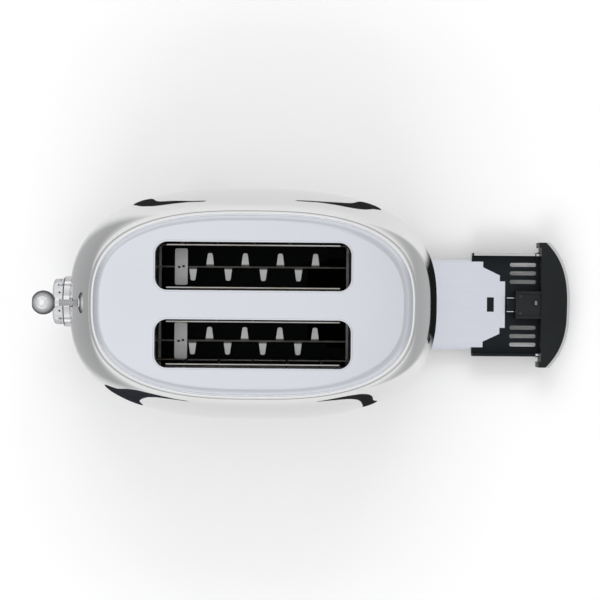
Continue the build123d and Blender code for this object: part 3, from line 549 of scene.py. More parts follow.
class Maker:
    """Shared handling of new pieces: selection, the edits that they share, and riding."""

    @staticmethod
    def clear() -> None:
        """Leaves object mode with nothing selected."""
        if bpy.context.object is not None and bpy.context.object.mode != "OBJECT":
            bpy.ops.object.mode_set(mode="OBJECT")
        bpy.ops.object.select_all(action="DESELECT")

    @staticmethod
    def edit() -> Piece:
        """Applies the new piece's placing and opens it for editing, all of it selected."""
        piece = bpy.context.object
        bpy.ops.object.transform_apply(location=True, rotation=True, scale=True)
        bpy.ops.object.mode_set(mode="EDIT")
        bpy.ops.mesh.select_mode(type="VERT")
        bpy.ops.mesh.select_all(action="SELECT")
        return piece

    @staticmethod
    def box(centre: tuple, size: tuple, turn: float = 0.0) -> Piece:
        """Adds a box and opens it for editing.

        Args:
            centre: its middle.
            size: its three sides.
            turn: degrees about X.

        Returns:
            The box.
        """
        Maker.clear()
        bpy.ops.mesh.primitive_cube_add(size=1, location=centre, rotation=(radians(turn), 0, 0))
        bpy.context.object.scale = size
        return Maker.edit()

    @staticmethod
    def disc(centre: tuple, radius: float, sides: int) -> Piece:
        """Adds a flat disc that faces along X and opens it for editing."""
        Maker.clear()
        bpy.ops.mesh.primitive_circle_add(vertices=sides, radius=radius, fill_type="NGON", location=centre,
                                          rotation=(0, -pi / 2, 0))
        return Maker.edit()

    @staticmethod
    def push(x: float = 0.0, y: float = 0.0, z: float = 0.0) -> None:
        """Extrudes what is selected."""
        bpy.ops.mesh.extrude_region_move(TRANSFORM_OT_translate={"value": (x, y, z)})

    @staticmethod
    def outward() -> None:
        """Selects all of the edited piece and turns its faces outwards."""
        bpy.ops.mesh.select_all(action="SELECT")
        bpy.ops.mesh.normals_make_consistent(inside=False)

    @staticmethod
    def blunt(offset: float, segments: int = 2) -> None:
        """Bevels every edge of the edited piece and leaves edit mode."""
        Maker.outward()
        bpy.ops.mesh.bevel(offset=offset, segments=segments)
        bpy.ops.object.mode_set(mode="OBJECT")

    @staticmethod
    def close(smooth: float = 0.0) -> None:
        """Turns the faces outwards, leaves edit mode and smooths edges of less than so many degrees."""
        Maker.outward()
        bpy.ops.object.mode_set(mode="OBJECT")
        if smooth:
            bpy.ops.object.shade_smooth_by_angle(angle=radians(smooth))

    @staticmethod
    def apply(piece: Piece, kind: str, **settings: Piece | str | float | bool) -> None:
        """Adds a modifier and applies it.

        Args:
            piece: the piece.
            kind: the modifier's type.
            settings: the modifier's settings.
        """
        Maker.clear()
        bpy.context.view_layer.objects.active = piece
        piece.select_set(True)
        modifier = piece.modifiers.new("step", kind)
        for setting, value in settings.items():
            setattr(modifier, setting, value)
        bpy.ops.object.modifier_apply(modifier=modifier.name)

    @staticmethod
    def pick_faces(piece: Piece, wanted: Callable[[bpy.types.MeshPolygon], bool]) -> None:
        """Selects the faces of the piece being edited that a test accepts.

        Args:
            piece: the mesh object, in edit mode.
            wanted: the test, given a face.
        """
        bpy.ops.mesh.select_mode(type="FACE")
        bpy.ops.mesh.select_all(action="DESELECT")
        bpy.ops.object.mode_set(mode="OBJECT")
        for face in piece.data.polygons:
            face.select = wanted(face)
        bpy.ops.object.mode_set(mode="EDIT")

    @staticmethod
    def pick_top(piece: Piece) -> None:
        """Selects the faces of the piece being edited that look up."""
        Maker.pick_faces(piece, lambda face: face.normal.z > FACING_UP)

    @staticmethod
    def pick_last(piece: Piece, count: int) -> None:
        """Selects the newest vertices of the piece being edited and nothing else."""
        bpy.ops.mesh.select_all(action="DESELECT")
        bpy.ops.object.mode_set(mode="OBJECT")
        for vertex in piece.data.vertices[-count:]:
            vertex.select = True
        bpy.ops.object.mode_set(mode="EDIT")

    @staticmethod
    def finish_piece(piece: Piece, name: str, body: Body, slot: str, material: Material) -> None:
        """Names a piece, dresses it and puts it on its body.

        Args:
            piece: the finished object.
            name: its plain name.
            body: the body that carries it.
            slot: the record's material slot; not used.
            material: its finish.
        """
        piece.name = name
        piece.data.name = name
        piece.data.materials.clear()
        piece.data.materials.append(material)
        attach(piece, body.value)
        LOG.info("piece %s rides on %s", name, body.value)


@dataclass
class DialMarks:
    """Numbers and half-step dots round the side of the dial."""

    radius: float = 19.6 * MM
    mark_x: float = -165.3 * MM
    digit_size: float = 6.0 * MM
    stroke_gain: float = 0.06 * MM
    dot_size: float = 1.8 * MM
    ink_thickness: float = 0.04 * MM
    pitch: float = 47.0
    shown_number: int = 3
    numbers: int = 6

    def wrap(self, piece: Piece, angle: float) -> None:
        """Bends a flat mark round the dial, its top towards the toaster.

        Args:
            piece: the mark, flat about the origin.
            angle: degrees from the top of the dial, clockwise seen from the front.
        """
        for vertex in piece.data.vertices:
            across, along, out = vertex.co
            turn = radians(angle) + across / self.radius
            reach = self.radius + out
            vertex.co = (self.mark_x + along, -reach * sin(turn), DIAL_Z + reach * cos(turn))

    def number(self, text: str, angle: float) -> Piece:
        """Models one number of the dial.

        Args:
            text: the digit.
            angle: degrees from the top.

        Returns:
            The mesh object.
        """
        Maker.clear()
        bpy.ops.object.text_add(location=(0, 0, 0))
        data = bpy.context.object.data
        data.body = text
        data.size = self.digit_size
        data.align_x = "CENTER"
        data.align_y = "CENTER"
        data.extrude = self.ink_thickness
        data.offset = self.stroke_gain
        bpy.ops.object.convert(target="MESH")
        mark = Maker.edit()
        bpy.ops.mesh.remove_doubles(threshold=0.000001)
        Maker.close()
        self.wrap(mark, angle)
        return mark

    def dot(self, angle: float) -> Piece:
        """Models one half-step dot, so many degrees from the top."""
        Maker.clear()
        thickness = self.ink_thickness * 2
        bpy.ops.mesh.primitive_cylinder_add(vertices=20, radius=self.dot_size / 2, depth=thickness)
        mark = Maker.edit()
        Maker.blunt(self.ink_thickness * 0.4, 1)
        self.wrap(mark, angle)
        return mark

    def build(self, book: FinishBook) -> None:
        """Makes all the marks, with the ink of the finishes."""
        ink = book.ink.make()
        for value in range(1, self.numbers + 1):
            angle = (value - self.shown_number) * self.pitch
            mark = self.number(str(value), angle)
            Maker.finish_piece(mark, f"dial_number_{value}", Body.DIAL, "dark_plastic", ink)
            if value < self.numbers:
                dot = self.dot(angle + self.pitch / 2)
                Maker.finish_piece(dot, f"dial_dot_{value}", Body.DIAL, "dark_plastic", ink)


@dataclass
class BodyShell:
    """The polished pressed shell, with the lever's slot and the holes for dial and buttons."""

    points: int = 288
    power: float = 2.683
    skirt_half: tuple[float, float] = (151.5 * MM, 89.5 * MM)
    belly_half: tuple[float, float] = (155.0 * MM, 97.5 * MM)
    rim_half: tuple[float, float] = (125.5 * MM, 71.75 * MM)
    lip: float = 6.0 * MM
    bottom: float = 30.0 * MM
    belly: float = 75.0 * MM
    rim: float = 192.0 * MM
    wall: float = 1.2 * MM
    shoulder_power: float = 1.6
    low_rows: int = 12
    high_rows: int = 56
    slot_middle: float = 114.0 * MM
    slot_length: float = 63.2 * MM
    slot_width: float = 8.0 * MM
    bush_radius: float = 4.8 * MM
    button_radius: float = 4.7 * MM
    lever_end: float = -155.0 * MM
    cutter_depth: float = 40.0 * MM

    def rows(self) -> list[tuple[float, float, float]]:
        """Works out the shell's outlines from the base to the rim.

        Returns:
            Height, half length and half width of each outline.
        """
        found = []
        for step in range(self.low_rows):
            drop = step / self.low_rows
            share = 1 - (1 - drop) ** 2
            height = self.bottom + drop * (self.belly - self.bottom)
            found.append((height, *self.between(self.skirt_half, self.belly_half, share)))
        for step in range(self.high_rows + 1):
            turn = pi / 2 * step / self.high_rows
            share = 1 - max(0.0, cos(turn)) ** (2 / self.shoulder_power)
            height = self.belly + (self.rim - self.belly) * sin(turn) ** (2 / self.shoulder_power)
            found.append((height, *self.between(self.belly_half, self.rim_half, share)))
        return found

    @staticmethod
    def between(first: tuple[float, float], last: tuple[float, float], share: float) -> tuple[float, float]:
        """The half sizes a share of the way from the first pair to the last."""
        return tuple(a + share * (b - a) for a, b in zip(first, last))

    def surface(self) -> Piece:
        """Draws the lowest outline and raises it row by row to the rim and its lip.

        Returns:
            The shell without its wall.
        """
        Maker.clear()
        rows = self.rows()
        height, half_x, half_y = rows[0]
        bpy.ops.mesh.primitive_circle_add(vertices=self.points, radius=half_x, location=(0, 0, 0))
        for number, vertex in enumerate(bpy.context.object.data.vertices):
            turn = 2 * pi * number / self.points
            reach = abs(cos(turn) / half_x) ** self.power + abs(sin(turn) / half_y) ** self.power
            reach = reach ** (-1 / self.power)
            vertex.co = (reach * cos(turn), reach * sin(turn), height)
        piece = Maker.edit()
        for (low, low_x, low_y), (high, high_x, high_y) in zip(rows, rows[1:]):
            Maker.push(z=high - low)
            bpy.ops.transform.resize(value=(high_x / low_x, high_y / low_y, 1), center_override=(0, 0, high))
        top_x, top_y = rows[-1][1:]
        Maker.push()
        bpy.ops.transform.resize(value=((top_x - self.lip) / top_x, (top_y - self.lip) / top_y, 1),
                                 center_override=(0, 0, self.rim))
        Maker.close()
        return piece

    def cut(self, piece: Piece, centre: tuple[float, float], radius: float, stretch: float = 0.0) -> None:
        """Cuts a round or long hole along X through the lever end.

        Args:
            piece: the shell.
            centre: Y and Z of the hole's middle.
            radius: half its width.
            stretch: how much longer than wide it is, along Z.
        """
        Maker.clear()
        bpy.ops.mesh.primitive_cylinder_add(vertices=48, radius=radius, depth=self.cutter_depth,
                                            location=(self.lever_end, *centre), rotation=(0, pi / 2, 0))
        cutter = bpy.context.object
        bpy.ops.object.transform_apply(location=True, rotation=True, scale=True)
        for vertex in cutter.data.vertices:
            vertex.co.z += stretch / 2 * (1 if vertex.co.z > centre[1] else -1)
        Maker.apply(piece, "BOOLEAN", object=cutter, operation="DIFFERENCE", solver="EXACT")
        bpy.data.objects.remove(cutter)

    def build(self, book: FinishBook) -> None:
        """Makes the shell and lets it stand for the CAD one.

        Args:
            book: the finishes.
        """
        piece = self.surface()
        Maker.apply(piece, "SOLIDIFY", thickness=self.wall, offset=-1, use_even_offset=True)
        self.cut(piece, (0, self.slot_middle), self.slot_width / 2, self.slot_length - self.slot_width)
        self.cut(piece, (0, DIAL_Z), self.bush_radius)
        for side in (1, -1):
            for level in (1, -1):
                self.cut(piece, (side * BUTTON_OUT, DIAL_Z + level * BUTTON_UP), self.button_radius)
        bpy.ops.object.shade_smooth_by_angle(angle=radians(32))
        Maker.finish_piece(piece, "polished_body_shell", Body.HOUSING, "polished_steel", book.shell.make())
        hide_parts("outer_shell")


@dataclass
class DialGaskets:
    """Thin dark rings of painted shadow: one in the gap behind the dial, one where the collar meets the
    shell.
    """

    dial_ring: tuple = (20.1 * MM, 21.2 * MM, -162.5 * MM, -161.45 * MM)
    shell_ring: tuple = (21.9 * MM, 22.7 * MM, -156.3 * MM, -154.5 * MM)
    rounding: float = 0.2 * MM

    def ring(self, inner: float, outer: float, start: float, end: float) -> Piece:
        """Draws a flat ring, thickens it and turns its axis along X.

        Args:
            inner: inner radius.
            outer: outer radius.
            start: X of its front.
            end: X of its back.

        Returns:
            The ring.
        """
        Maker.clear()
        bpy.ops.mesh.primitive_circle_add(vertices=96, radius=inner, location=(0, 0, 0))
        piece = Maker.edit()
        Maker.push()
        bpy.ops.transform.resize(value=(outer / inner, outer / inner, 1), center_override=(0, 0, 0))
        bpy.ops.mesh.select_all(action="SELECT")
        Maker.push(z=end - start)
        Maker.blunt(self.rounding)
        piece.rotation_euler = (0, pi / 2, 0)
        piece.location = (start, 0, DIAL_Z)
        bpy.ops.object.transform_apply(location=True, rotation=True, scale=True)
        bpy.ops.object.shade_smooth_by_angle(angle=radians(40))
        return piece

    def build(self, book: FinishBook) -> None:
        """Makes both painted shadow rings, of the finishes' rubber."""
        rubber = book.rubber.make()
        # painted shadow: both rings are dark rubber finish set where the dial and the collar only have
        # shadow gaps
        for name, sizes in (("dial_gap_shadow_ring", self.dial_ring), ("collar_shadow_ring", self.shell_ring)):
            Maker.finish_piece(self.ring(*sizes), name, Body.HOUSING, "rubber", rubber)


@dataclass
class TrayFittings:
    """Small metal parts of the crumb tray: slide strip, latch wires, cover screws and spring."""

    wall_y: float = 44.4 * MM
    wall_top: float = 20.8 * MM
    strip_start: float = 194.4 * MM
    strip_end: float = 248.6 * MM
    strip_width: float = 2.2 * MM
    strip_height: float = 0.5 * MM
    wire_y: float = 5.85 * MM
    wire_z: float = 17.6 * MM
    wire_radius: float = 0.75 * MM
    wire_start: float = 222.8 * MM
    wire_end: float = 231.6 * MM
    wire_bend: float = 80.0
    cover_top: float = 25.0 * MM
    screw_x: float = 235.2 * MM
    screw_y: float = 7.4 * MM
    screw_radius: float = 1.5 * MM
    spring_x: float = 248.4 * MM
    spring_y: float = 1.9 * MM
    spring_radius: float = 1.3 * MM
    spring_wire: float = 0.35 * MM
    spring_turns: int = 4
    spring_sides: int = 10
    spring_steps: int = 16

    def strip(self) -> Piece:
        """Models the bright strip on the far side wall."""
        length = self.strip_end - self.strip_start
        middle = (self.strip_start + length / 2, self.wall_y, self.wall_top + self.strip_height / 2)
        piece = Maker.box(middle, (length, self.strip_width, self.strip_height))
        Maker.pick_top(piece)
        bpy.ops.mesh.inset(thickness=self.strip_width * 0.22, depth=self.strip_height * 0.35)
        Maker.blunt(self.strip_height * 0.2)
        return piece

    def latch_wire(self, side: int) -> Piece:
        """Models one latch wire with its tip turned down.

        Args:
            side: 1 for the rear wire, -1 for the front one.

        Returns:
            The mesh object.
        """
        y = side * self.wire_y
        tip = self.wire_radius * 1.6
        piece = Maker.disc((self.wire_end, y, self.wire_z), self.wire_radius, 16)
        Maker.push(x=self.wire_start + tip - self.wire_end)
        bpy.ops.mesh.spin(steps=6, angle=radians(self.wire_bend), axis=(0, -1, 0),
                          center=(self.wire_start + tip, y, self.wire_z - tip))
        bpy.ops.mesh.select_all(action="SELECT")
        bpy.ops.mesh.remove_doubles(threshold=0.000002)
        Maker.close(50)
        return piece

    def cover_screw(self, side: int) -> Piece:
        """Models one pan-head screw on the latch cover.

        Args:
            side: 1 for the rear screw, -1 for the front one.

        Returns:
            The mesh object.
        """
        Maker.clear()
        height = self.screw_radius * 0.55
        step = self.screw_radius * 0.3
        centre = (self.screw_x, side * self.screw_y, self.cover_top + height / 2)
        bpy.ops.mesh.primitive_cylinder_add(vertices=28, radius=self.screw_radius, depth=height,
                                            location=centre)
        piece = Maker.edit()
        Maker.pick_top(piece)
        bpy.ops.mesh.inset(thickness=step, depth=height * 0.3)
        bpy.ops.mesh.inset(thickness=step, depth=0.0)
        Maker.push(z=-height * 0.5)
        Maker.close(35)
        return piece

    def cover_spring(self) -> Piece:
        """Models the latch's small return spring, lying across the cover.

        Returns:
            The mesh object.
        """
        Maker.clear()
        pitch = self.spring_wire * 2.4
        turn = 2 * pi / self.spring_steps
        start = (self.spring_x, self.spring_y - pitch * self.spring_turns / 2,
                 self.cover_top + self.spring_radius + self.spring_wire)
        bpy.ops.mesh.primitive_circle_add(vertices=self.spring_sides, radius=self.spring_wire,
                                          location=(start[0] + self.spring_radius, start[1], start[2]))
        piece = Maker.edit()
        for _ in range(self.spring_turns * self.spring_steps):
            Maker.pick_last(piece, self.spring_sides)
            Maker.push(y=pitch / self.spring_steps)
            bpy.ops.transform.rotate(value=turn, orient_axis="Y", center_override=start)
        Maker.close(60)
        return piece

    def build(self, book: FinishBook) -> None:
        """Makes the fittings.

        Args:
            book: the finishes.
        """
        bright = book.bright.make()
        steel = book.dark_screw.make()
        Maker.finish_piece(self.strip(), "tray_slide_strip", Body.TRAY, "bright_trim", bright)
        Maker.finish_piece(self.cover_spring(), "cover_spring", Body.TRAY, "wire", book.spring.make())
        for side, word in SIDES:
            Maker.finish_piece(self.latch_wire(side), f"latch_wire_{word}", Body.LATCH, "wire", bright)
            Maker.finish_piece(self.cover_screw(side), f"cover_screw_{word}", Body.TRAY, "steel", steel)


@dataclass
class RackTabs:
    """Lanced tabs that hold each cross plate on its rack; their dark steel is painted shade, giving two dark
    marks on each cross plate.
    """

    cross_x: float = -59.1 * MM
    plate_top: float = 129.0 * MM
    tab_length: float = 1.7 * MM
    tab_width: float = 1.8 * MM
    tab_height: float = 0.6 * MM
    half_gap: float = 1.5 * MM
    stagger: float = 0.35 * MM

    def tab(self, side: int, number: int) -> Piece:
        """Models one bent tab.

        Args:
            side: 1 for the rear rack, -1 for the front one.
            number: -1 or 1, its place along the rack.

        Returns:
            The mesh object.
        """
        centre = (self.cross_x + number * self.half_gap, side * RACK_Y + number * self.stagger,
                  self.plate_top + self.tab_height / 2)
        piece = Maker.box(centre, (self.tab_length, self.tab_width, self.tab_height))
        Maker.pick_top(piece)
        bpy.ops.transform.translate(value=(number * self.tab_length * 0.35, 0, 0))
        Maker.blunt(self.tab_height * 0.18)
        return piece

    def build(self, book: FinishBook) -> None:
        """Makes the tabs on both cross plates, of the finishes' dark steel as painted shade."""
        # painted shade: the dark tabs give the two dark marks on each cross plate
        dark = book.dark_screw.make()
        for side, word in SIDES:
            for number, end in ((-1, "outer"), (1, "inner")):
                name = f"rack_tab_{word}_{end}"
                Maker.finish_piece(self.tab(side, number), name, Body.CARRIAGE, "steel", dark)


class Symbol(Enum):
    """Plain signs on the push buttons."""

    WAVES = "reheat"
    CROSS = "cancel"
    FLAKE = "defrost"
    RING = "bagel"


@dataclass
class ButtonSigns:
    """Plain filled signs on the faces of the four push buttons."""

    face_x: float = -153.9 * MM
    reach: float = 2.3 * MM
    line: float = 0.6 * MM
    proud: float = 0.04 * MM
    wave_gap: float = 1.3 * MM

    def bar(self, centre: tuple[float, float], length: float, angle: float) -> Piece:
        """Models a straight stroke with its middle at a Y and Z, so many degrees from level."""
        piece = Maker.box((self.face_x, *centre), (self.proud * 2, length, self.line), angle)
        Maker.blunt(self.proud * 0.4, 1)
        return piece

    def ring(self, centre: tuple[float, float]) -> Piece:
        """Models the ring sign round a point, given by its Y and Z."""
        piece = Maker.disc((self.face_x - self.proud, *centre), self.reach, 40)
        bpy.ops.mesh.inset(thickness=self.line)
        bpy.ops.mesh.delete(type="FACE")
        bpy.ops.mesh.select_all(action="SELECT")
        Maker.push(x=self.proud * 2)
        Maker.close()
        return piece

    def strokes(self, symbol: Symbol, centre: tuple[float, float]) -> list[Piece]:
        """Models the strokes of one sign.

        Args:
            symbol: which sign.
            centre: Y and Z of the button.

        Returns:
            The mesh objects.
        """
        if symbol is Symbol.RING:
            return [self.ring(centre)]
        if symbol is Symbol.CROSS:
            return [self.bar(centre, self.reach * 2, angle) for angle in (45, -45)]
        if symbol is Symbol.FLAKE:
            return [self.bar(centre, self.reach * 2, angle) for angle in (90, 30, -30)]
        rows = (-self.wave_gap, 0.0, self.wave_gap)
        return [self.bar((centre[0], centre[1] + row), self.reach * 1.7, 0) for row in rows]

    def build(self, book: FinishBook) -> None:
        """Makes the four signs.

        Args:
            book: the finishes.
        """
        ink = book.ink.make()
        places = {
            Symbol.WAVES: (BUTTON_OUT, DIAL_Z + BUTTON_UP, Body.REHEAT),
            Symbol.CROSS: (BUTTON_OUT, DIAL_Z - BUTTON_UP, Body.CANCEL),
            Symbol.FLAKE: (-BUTTON_OUT, DIAL_Z + BUTTON_UP, Body.DEFROST),
            Symbol.RING: (-BUTTON_OUT, DIAL_Z - BUTTON_UP, Body.BAGEL),
        }
        for symbol, (y, z, body) in places.items():
            parts = self.strokes(symbol, (y, z))
            Maker.clear()
            for part in parts:
                part.select_set(True)
            bpy.context.view_layer.objects.active = parts[0]
            if len(parts) > 1:
                bpy.ops.object.join()
            Maker.finish_piece(parts[0], f"sign_{symbol.value}", body, "dark_plastic", ink)


@dataclass
class Studio:
    """Camera, pale floor, lamps and the cards that the polished finishes mirror."""

    camera_place: tuple = (5.4 * MM, 17.6 * MM, 1500.0 * MM)
    focal_pixels: float = 1674.0
    frame_pixels: float = 600.0
    sensor: float = 36.0
    centre_right: float = -40.0
    centre_down: float = -17.3
    roll: float = 0.5
    view_end: float = 40.0
    floor_size: float = 9.0
    floor_colour: Colour = (0.93, 0.93, 0.93)
    sky: tuple = (1.08, 0.58)
    flag_radius: float = 0.9
    flag_height: float = 0.36
    flag_shade: float = 0.5
    card_lift: float = 0.5 * MM
    card_black: Colour = (0.012, 0.012, 0.013)
    card_blue: Colour = (0.016, 0.018, 0.026)
    ball_place: tuple = (-170.7 * MM, 0.0, 138.0 * MM)
    bowl_radius: float = 10.5 * MM
    bowl_opening: float = 35.0
    bowl_fade: tuple = (0.3, 0.9)
    bowl_light: tuple = (0.09, 0.5)
    bowl_reach: float = 9.0 * MM

    def camera(self) -> None:
        """Sets the camera straight above, with the photograph's framing."""
        data = bpy.data.cameras.new("camera")
        data.sensor_width = self.sensor
        data.lens = self.focal_pixels / self.frame_pixels * self.sensor
        data.shift_x = -self.centre_right / self.frame_pixels
        data.shift_y = self.centre_down / self.frame_pixels
        data.clip_end = self.view_end
        camera = bpy.data.objects.new("camera", data)
        camera.location = self.camera_place
        camera.rotation_euler = (0, 0, radians(self.roll))
        bpy.context.scene.collection.objects.link(camera)
        bpy.context.scene.camera = camera

    def floor(self) -> None:
        """Lays the pale floor."""
        Maker.clear()
        bpy.ops.mesh.primitive_plane_add(size=self.floor_size, location=(0, 0, 0))
        ground = bpy.context.object
        ground.name = "floor"
        recipe = Recipe("pale_floor")
        cloud = recipe.noise(recipe.place, 3.0, 3.0, 0.5)
        recipe.feed("Base Color", recipe.shades(cloud, self.floor_colour, 0.985, 1.0))
        recipe.set("Roughness", 0.9)
        recipe.set("Specular IOR Level", 0.1)
        ground.data.materials.append(recipe.material)

    def surroundings(self) -> None:
        """Gives the room an even pale light."""
        world = bpy.data.worlds.new("studio")
        bpy.context.scene.world = world
        world.use_nodes = True
        tree = world.node_tree
        tree.nodes.clear()
        up = axis_part(tree, add_node(tree, "TexCoord").outputs["Generated"], "Z")
        light = map_range(tree, up, (0.0, 1.0), self.sky)
        background = add_node(tree, "Background", {"Strength": light}, {"Color": WHITE})
        add_node(tree, "OutputWorld", {"Surface": background.outputs["Background"]})

    def lamp(self, name: str, place: tuple, aim: tuple, size: tuple, power: float, mirrored: bool) -> None:
        """Adds a soft box.

        Args:
            name: the lamp's name.
            place: where it hangs, in metres.
            aim: the point that it faces.
            size: its two sides in metres.
            power: watts.
            mirrored: whether bright metal shows it.
        """
        data = bpy.data.lights.new(name, "AREA")
        data.shape = "RECTANGLE"
        data.size, data.size_y = size
        data.energy = power
        lamp = bpy.data.objects.new(name, data)
        lamp.location = place
        direction = Vector(aim) - Vector(place)
        lamp.rotation_euler = direction.to_track_quat("-Z", "Y").to_euler()
        lamp.visible_glossy = mirrored
        bpy.context.scene.collection.objects.link(lamp)

    @staticmethod
    def hide_card(card: Piece) -> None:
        """Leaves a card to reflections alone."""
        card.visible_camera = False
        card.visible_diffuse = False
        card.visible_shadow = False
        card.visible_transmission = False

    @staticmethod
    def card_shader(name: str, shade: float) -> tuple[Material, Tree, Socket]:
        """Makes a card's material, clear or grey by a share.

        Args:
            name: the material's name.
            shade: how bright the grey is.

        Returns:
            The material, its node tree, and the socket for the share of grey.
        """
        material = bpy.data.materials.new(name)
        material.use_nodes = True
        tree = material.node_tree
        tree.nodes.clear()
        clear = add_node(tree, "BsdfTransparent")
        glow = add_node(tree, "Emission", values={"Color": (shade, shade, shade * 1.02, 1.0)})
        mixed = add_node(tree, "MixShader", {1: clear.outputs["BSDF"], 2: glow.outputs["Emission"]})
        add_node(tree, "OutputMaterial", {"Surface": mixed.outputs["Shader"]})
        return material, tree, mixed.inputs["Fac"]

    @staticmethod
    def fade(tree: Tree, axis: str, half: float, edge: float) -> Socket:
        """One inside a card, falling softly to nought over its edge.

        Args:
            tree: the material's nodes.
            axis: X, Y or Z of the card.
            half: half its length along the axis.
            edge: how wide the soft edge is.

        Returns:
            The share.
        """
        along = axis_part(tree, add_node(tree, "TexCoord").outputs["Object"], axis)
        away = calculate(tree, "ABSOLUTE", along)
        return map_range(tree, away, (half - edge, half), (1.0, 0.0), "SMOOTHSTEP")

    def flag_ring(self) -> None:
        """Stands a soft grey ring far round the object that only the mirror finishes see."""
        Maker.clear()
        half = self.flag_height / 2
        bpy.ops.mesh.primitive_cylinder_add(vertices=96, radius=self.flag_radius, end_fill_type="NOTHING",
                                            depth=self.flag_height, location=(0, 0, half))
        ring = bpy.context.object
        ring.name = "flag_ring"
        material, tree, share = self.card_shader("flag_cloth", self.flag_shade)
        tree.links.new(self.fade(tree, "Z", half, half), share)
        ring.data.materials.append(material)
        self.hide_card(ring)

    def soft_card(self, name: str, place: tuple, tilt: float, size: tuple, shade: float,
                  edges: tuple) -> None:
        """Sets up a grey card with soft edges that only the mirror finishes see, from its front.

        Args:
            name: the card's name.
            place: its middle, in metres.
            tilt: degrees about Y; at 0 it faces up.
            size: its two sides in metres.
            shade: how bright it is.
            edges: how wide the soft edges across its two sides are, in metres.
        """
        Maker.clear()
        bpy.ops.mesh.primitive_plane_add(size=1.0, location=place, rotation=(0, radians(tilt), 0))
        card = bpy.context.object
        card.name = name
        card.scale = (*size, 1.0)
        bpy.ops.object.transform_apply(location=False, rotation=False, scale=True)
        material, tree, share = self.card_shader(f"{name}_shade", shade)
        shown = calculate(tree, "SUBTRACT", 1.0, add_node(tree, "NewGeometry").outputs["Backfacing"])
        for axis, length, edge in zip("XY", size, edges):
            shown = calculate(tree, "MULTIPLY", shown, self.fade(tree, axis, length / 2, edge))
        tree.links.new(shown, share)
        card.data.materials.append(material)
        self.hide_card(card)

    def ball_card(self) -> None:
        """Sets a dark bowl close under the lever's ball, seen only by the ball's own gloss."""
        Maker.clear()
        bpy.ops.mesh.primitive_uv_sphere_add(segments=64, ring_count=48, radius=self.bowl_radius,
                                             location=self.ball_place)
        bowl = bpy.context.object
        bowl.name = "card_ball_bowl"
        brim = self.ball_place[2] + self.bowl_radius * cos(radians(self.bowl_opening))
        bpy.ops.object.mode_set(mode="EDIT")
        Maker.pick_faces(bowl, lambda face: (bowl.matrix_world @ face.center).z > brim)
        bpy.ops.mesh.delete(type="FACE")
        bpy.ops.mesh.select_all(action="SELECT")
        bpy.ops.mesh.flip_normals()
        bpy.ops.object.mode_set(mode="OBJECT")
        material, tree, share = self.card_shader("card_ball_bowl_shade", 1.0)
        up = axis_part(tree, add_node(tree, "TexCoord").outputs["Object"], "Z")
        heights = tuple(part * self.bowl_radius for part in self.bowl_fade)
        light = map_range(tree, up, heights, self.bowl_light, "SMOOTHSTEP")
        tree.links.new(light, tree.nodes["Emission"].inputs["Strength"])
        length = add_node(tree, "LightPath").outputs["Ray Length"]
        near = calculate(tree, "LESS_THAN", length, self.bowl_reach)
        behind = add_node(tree, "NewGeometry").outputs["Backfacing"]
        tree.links.new(calculate(tree, "SUBTRACT", near, behind, clamp=True), share)
        bowl.data.materials.append(material)
        self.hide_card(bowl)

    def card(self, name: str, outline: list[tuple[float, float]], shade: Colour) -> None:
        """Lays a dark card on the floor that only the mirror finishes see.

        Args:
            name: the card's name.
            outline: corner points in millimetres, drawn as one smooth closed line.
            shade: its colour.
        """
        curve = bpy.data.curves.new(name, "CURVE")
        curve.dimensions = "2D"
        curve.fill_mode = "BOTH"
        spline = curve.splines.new("BEZIER")
        spline.bezier_points.add(len(outline) - 1)
        spline.use_cyclic_u = True
        for point, (x, y) in zip(spline.bezier_points, outline):
            point.co = (x * MM, y * MM, 0.0)
            point.handle_left_type = "AUTO"
            point.handle_right_type = "AUTO"
        card = bpy.data.objects.new(name, curve)
        card.location = (0, 0, self.card_lift)
        bpy.context.scene.collection.objects.link(card)
        recipe = Recipe(f"{name}_shade")
        recipe.feed("Base Color", recipe.shades(recipe.noise(recipe.place, 40.0), shade, 0.9, 1.0))
        recipe.set("Roughness", 0.9)
        curve.materials.append(recipe.material)
        self.hide_card(card)

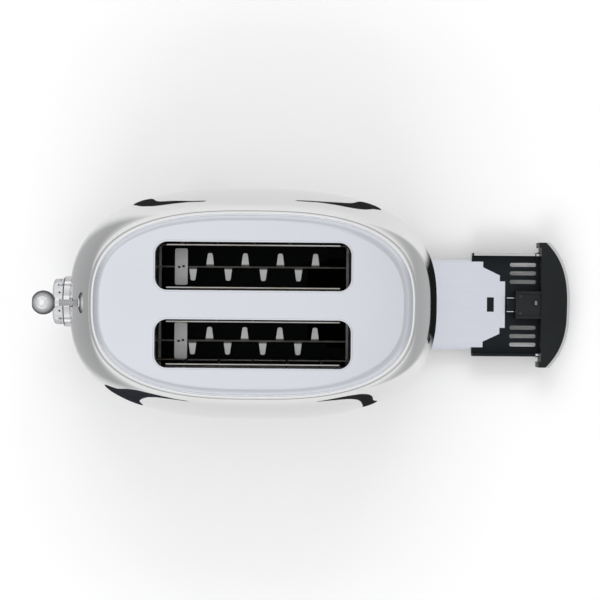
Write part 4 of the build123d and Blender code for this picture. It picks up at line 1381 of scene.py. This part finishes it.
    def build(self) -> None:
        """Sets up the whole studio."""
        bpy.context.scene.view_settings.view_transform = "Standard"
        self.camera()
        self.floor()
        self.surroundings()
        self.lamp("softbox_top", (-0.5, 0.1, 2.2), (-0.5, 0.1, 0), (1.7, 2.0), 4.1, True)
        self.lamp("softbox_rear", (0.0, 1.6, 1.5), (0, 0, 0.05), (1.6, 0.9), 13.0, False)
        self.lamp("softbox_front", (-0.2, -1.6, 1.5), (0, 0, 0.05), (1.6, 0.9), 13.0, False)
        self.flag_ring()
        self.soft_card("card_lever_floor", (-0.62, 0, 0.0004), 0, (0.96, 0.74), 0.47, (0.05, 0.22))
        self.soft_card("card_lever_side", (-1.1, 0, 0.5), 90, (1.5, 1.7), 0.56, (0.6, 0.6))
        self.soft_card("card_tray_floor", (0.65, 0, 0.029), 0, (0.914, 0.8), 0.52, (0.028, 0.3))
        self.soft_card("card_tray_side", (1.1, 0, 0.5), -90, (1.5, 1.7), 0.58, (0.6, 0.6))
        self.soft_card("card_tray_mouth", (0.1835, 0.0055, 0.03), 0, (0.06, 0.108), 0.012, (0.006, 0.018))
        self.ball_card()
        self.card("card_rear_left", [(-112, 100), (-118, 121), (-116, 147), (-107, 168), (-88, 181),
                                     (-71, 189), (-52, 194), (-69, 177), (-83, 158), (-97, 139),
                                     (-102, 100)], self.card_black)
        self.card("card_rear_right", [(119, 98), (121, 124), (119, 151), (109, 168), (89, 177), (71, 181),
                                      (42, 184), (52, 177), (69, 169), (84, 156), (97, 137),
                                      (106, 98)], self.card_black)
        self.card("card_front_left", [(-143, -90), (-152, -133), (-164, -199), (-159, -253), (-137, -286),
                                      (-108, -288), (-82, -274), (-102, -260), (-120, -229), (-125, -194),
                                      (-123, -164), (-116, -130), (-104, -96)], self.card_blue)
        self.card("card_front_right", [(115, -100), (123, -123), (137, -154), (151, -210), (153, -271),
                                       (135, -319), (102, -315), (86, -300), (103, -268), (119, -228),
                                       (122, -184), (117, -151), (108, -120), (104, -100)], self.card_black)


def main() -> None:
    """Builds the studio, dresses the CAD nodes and adds the new pieces."""
    logging.basicConfig(level=logging.INFO, format="%(name)s: %(message)s")
    Studio().build()
    book = FinishBook()
    book.dress(frame["nodes"])
    for maker in (BodyShell, DialMarks, DialGaskets, TrayFittings, RackTabs, ButtonSigns):
        maker().build(book)


if __name__ == "__main__":
    main()
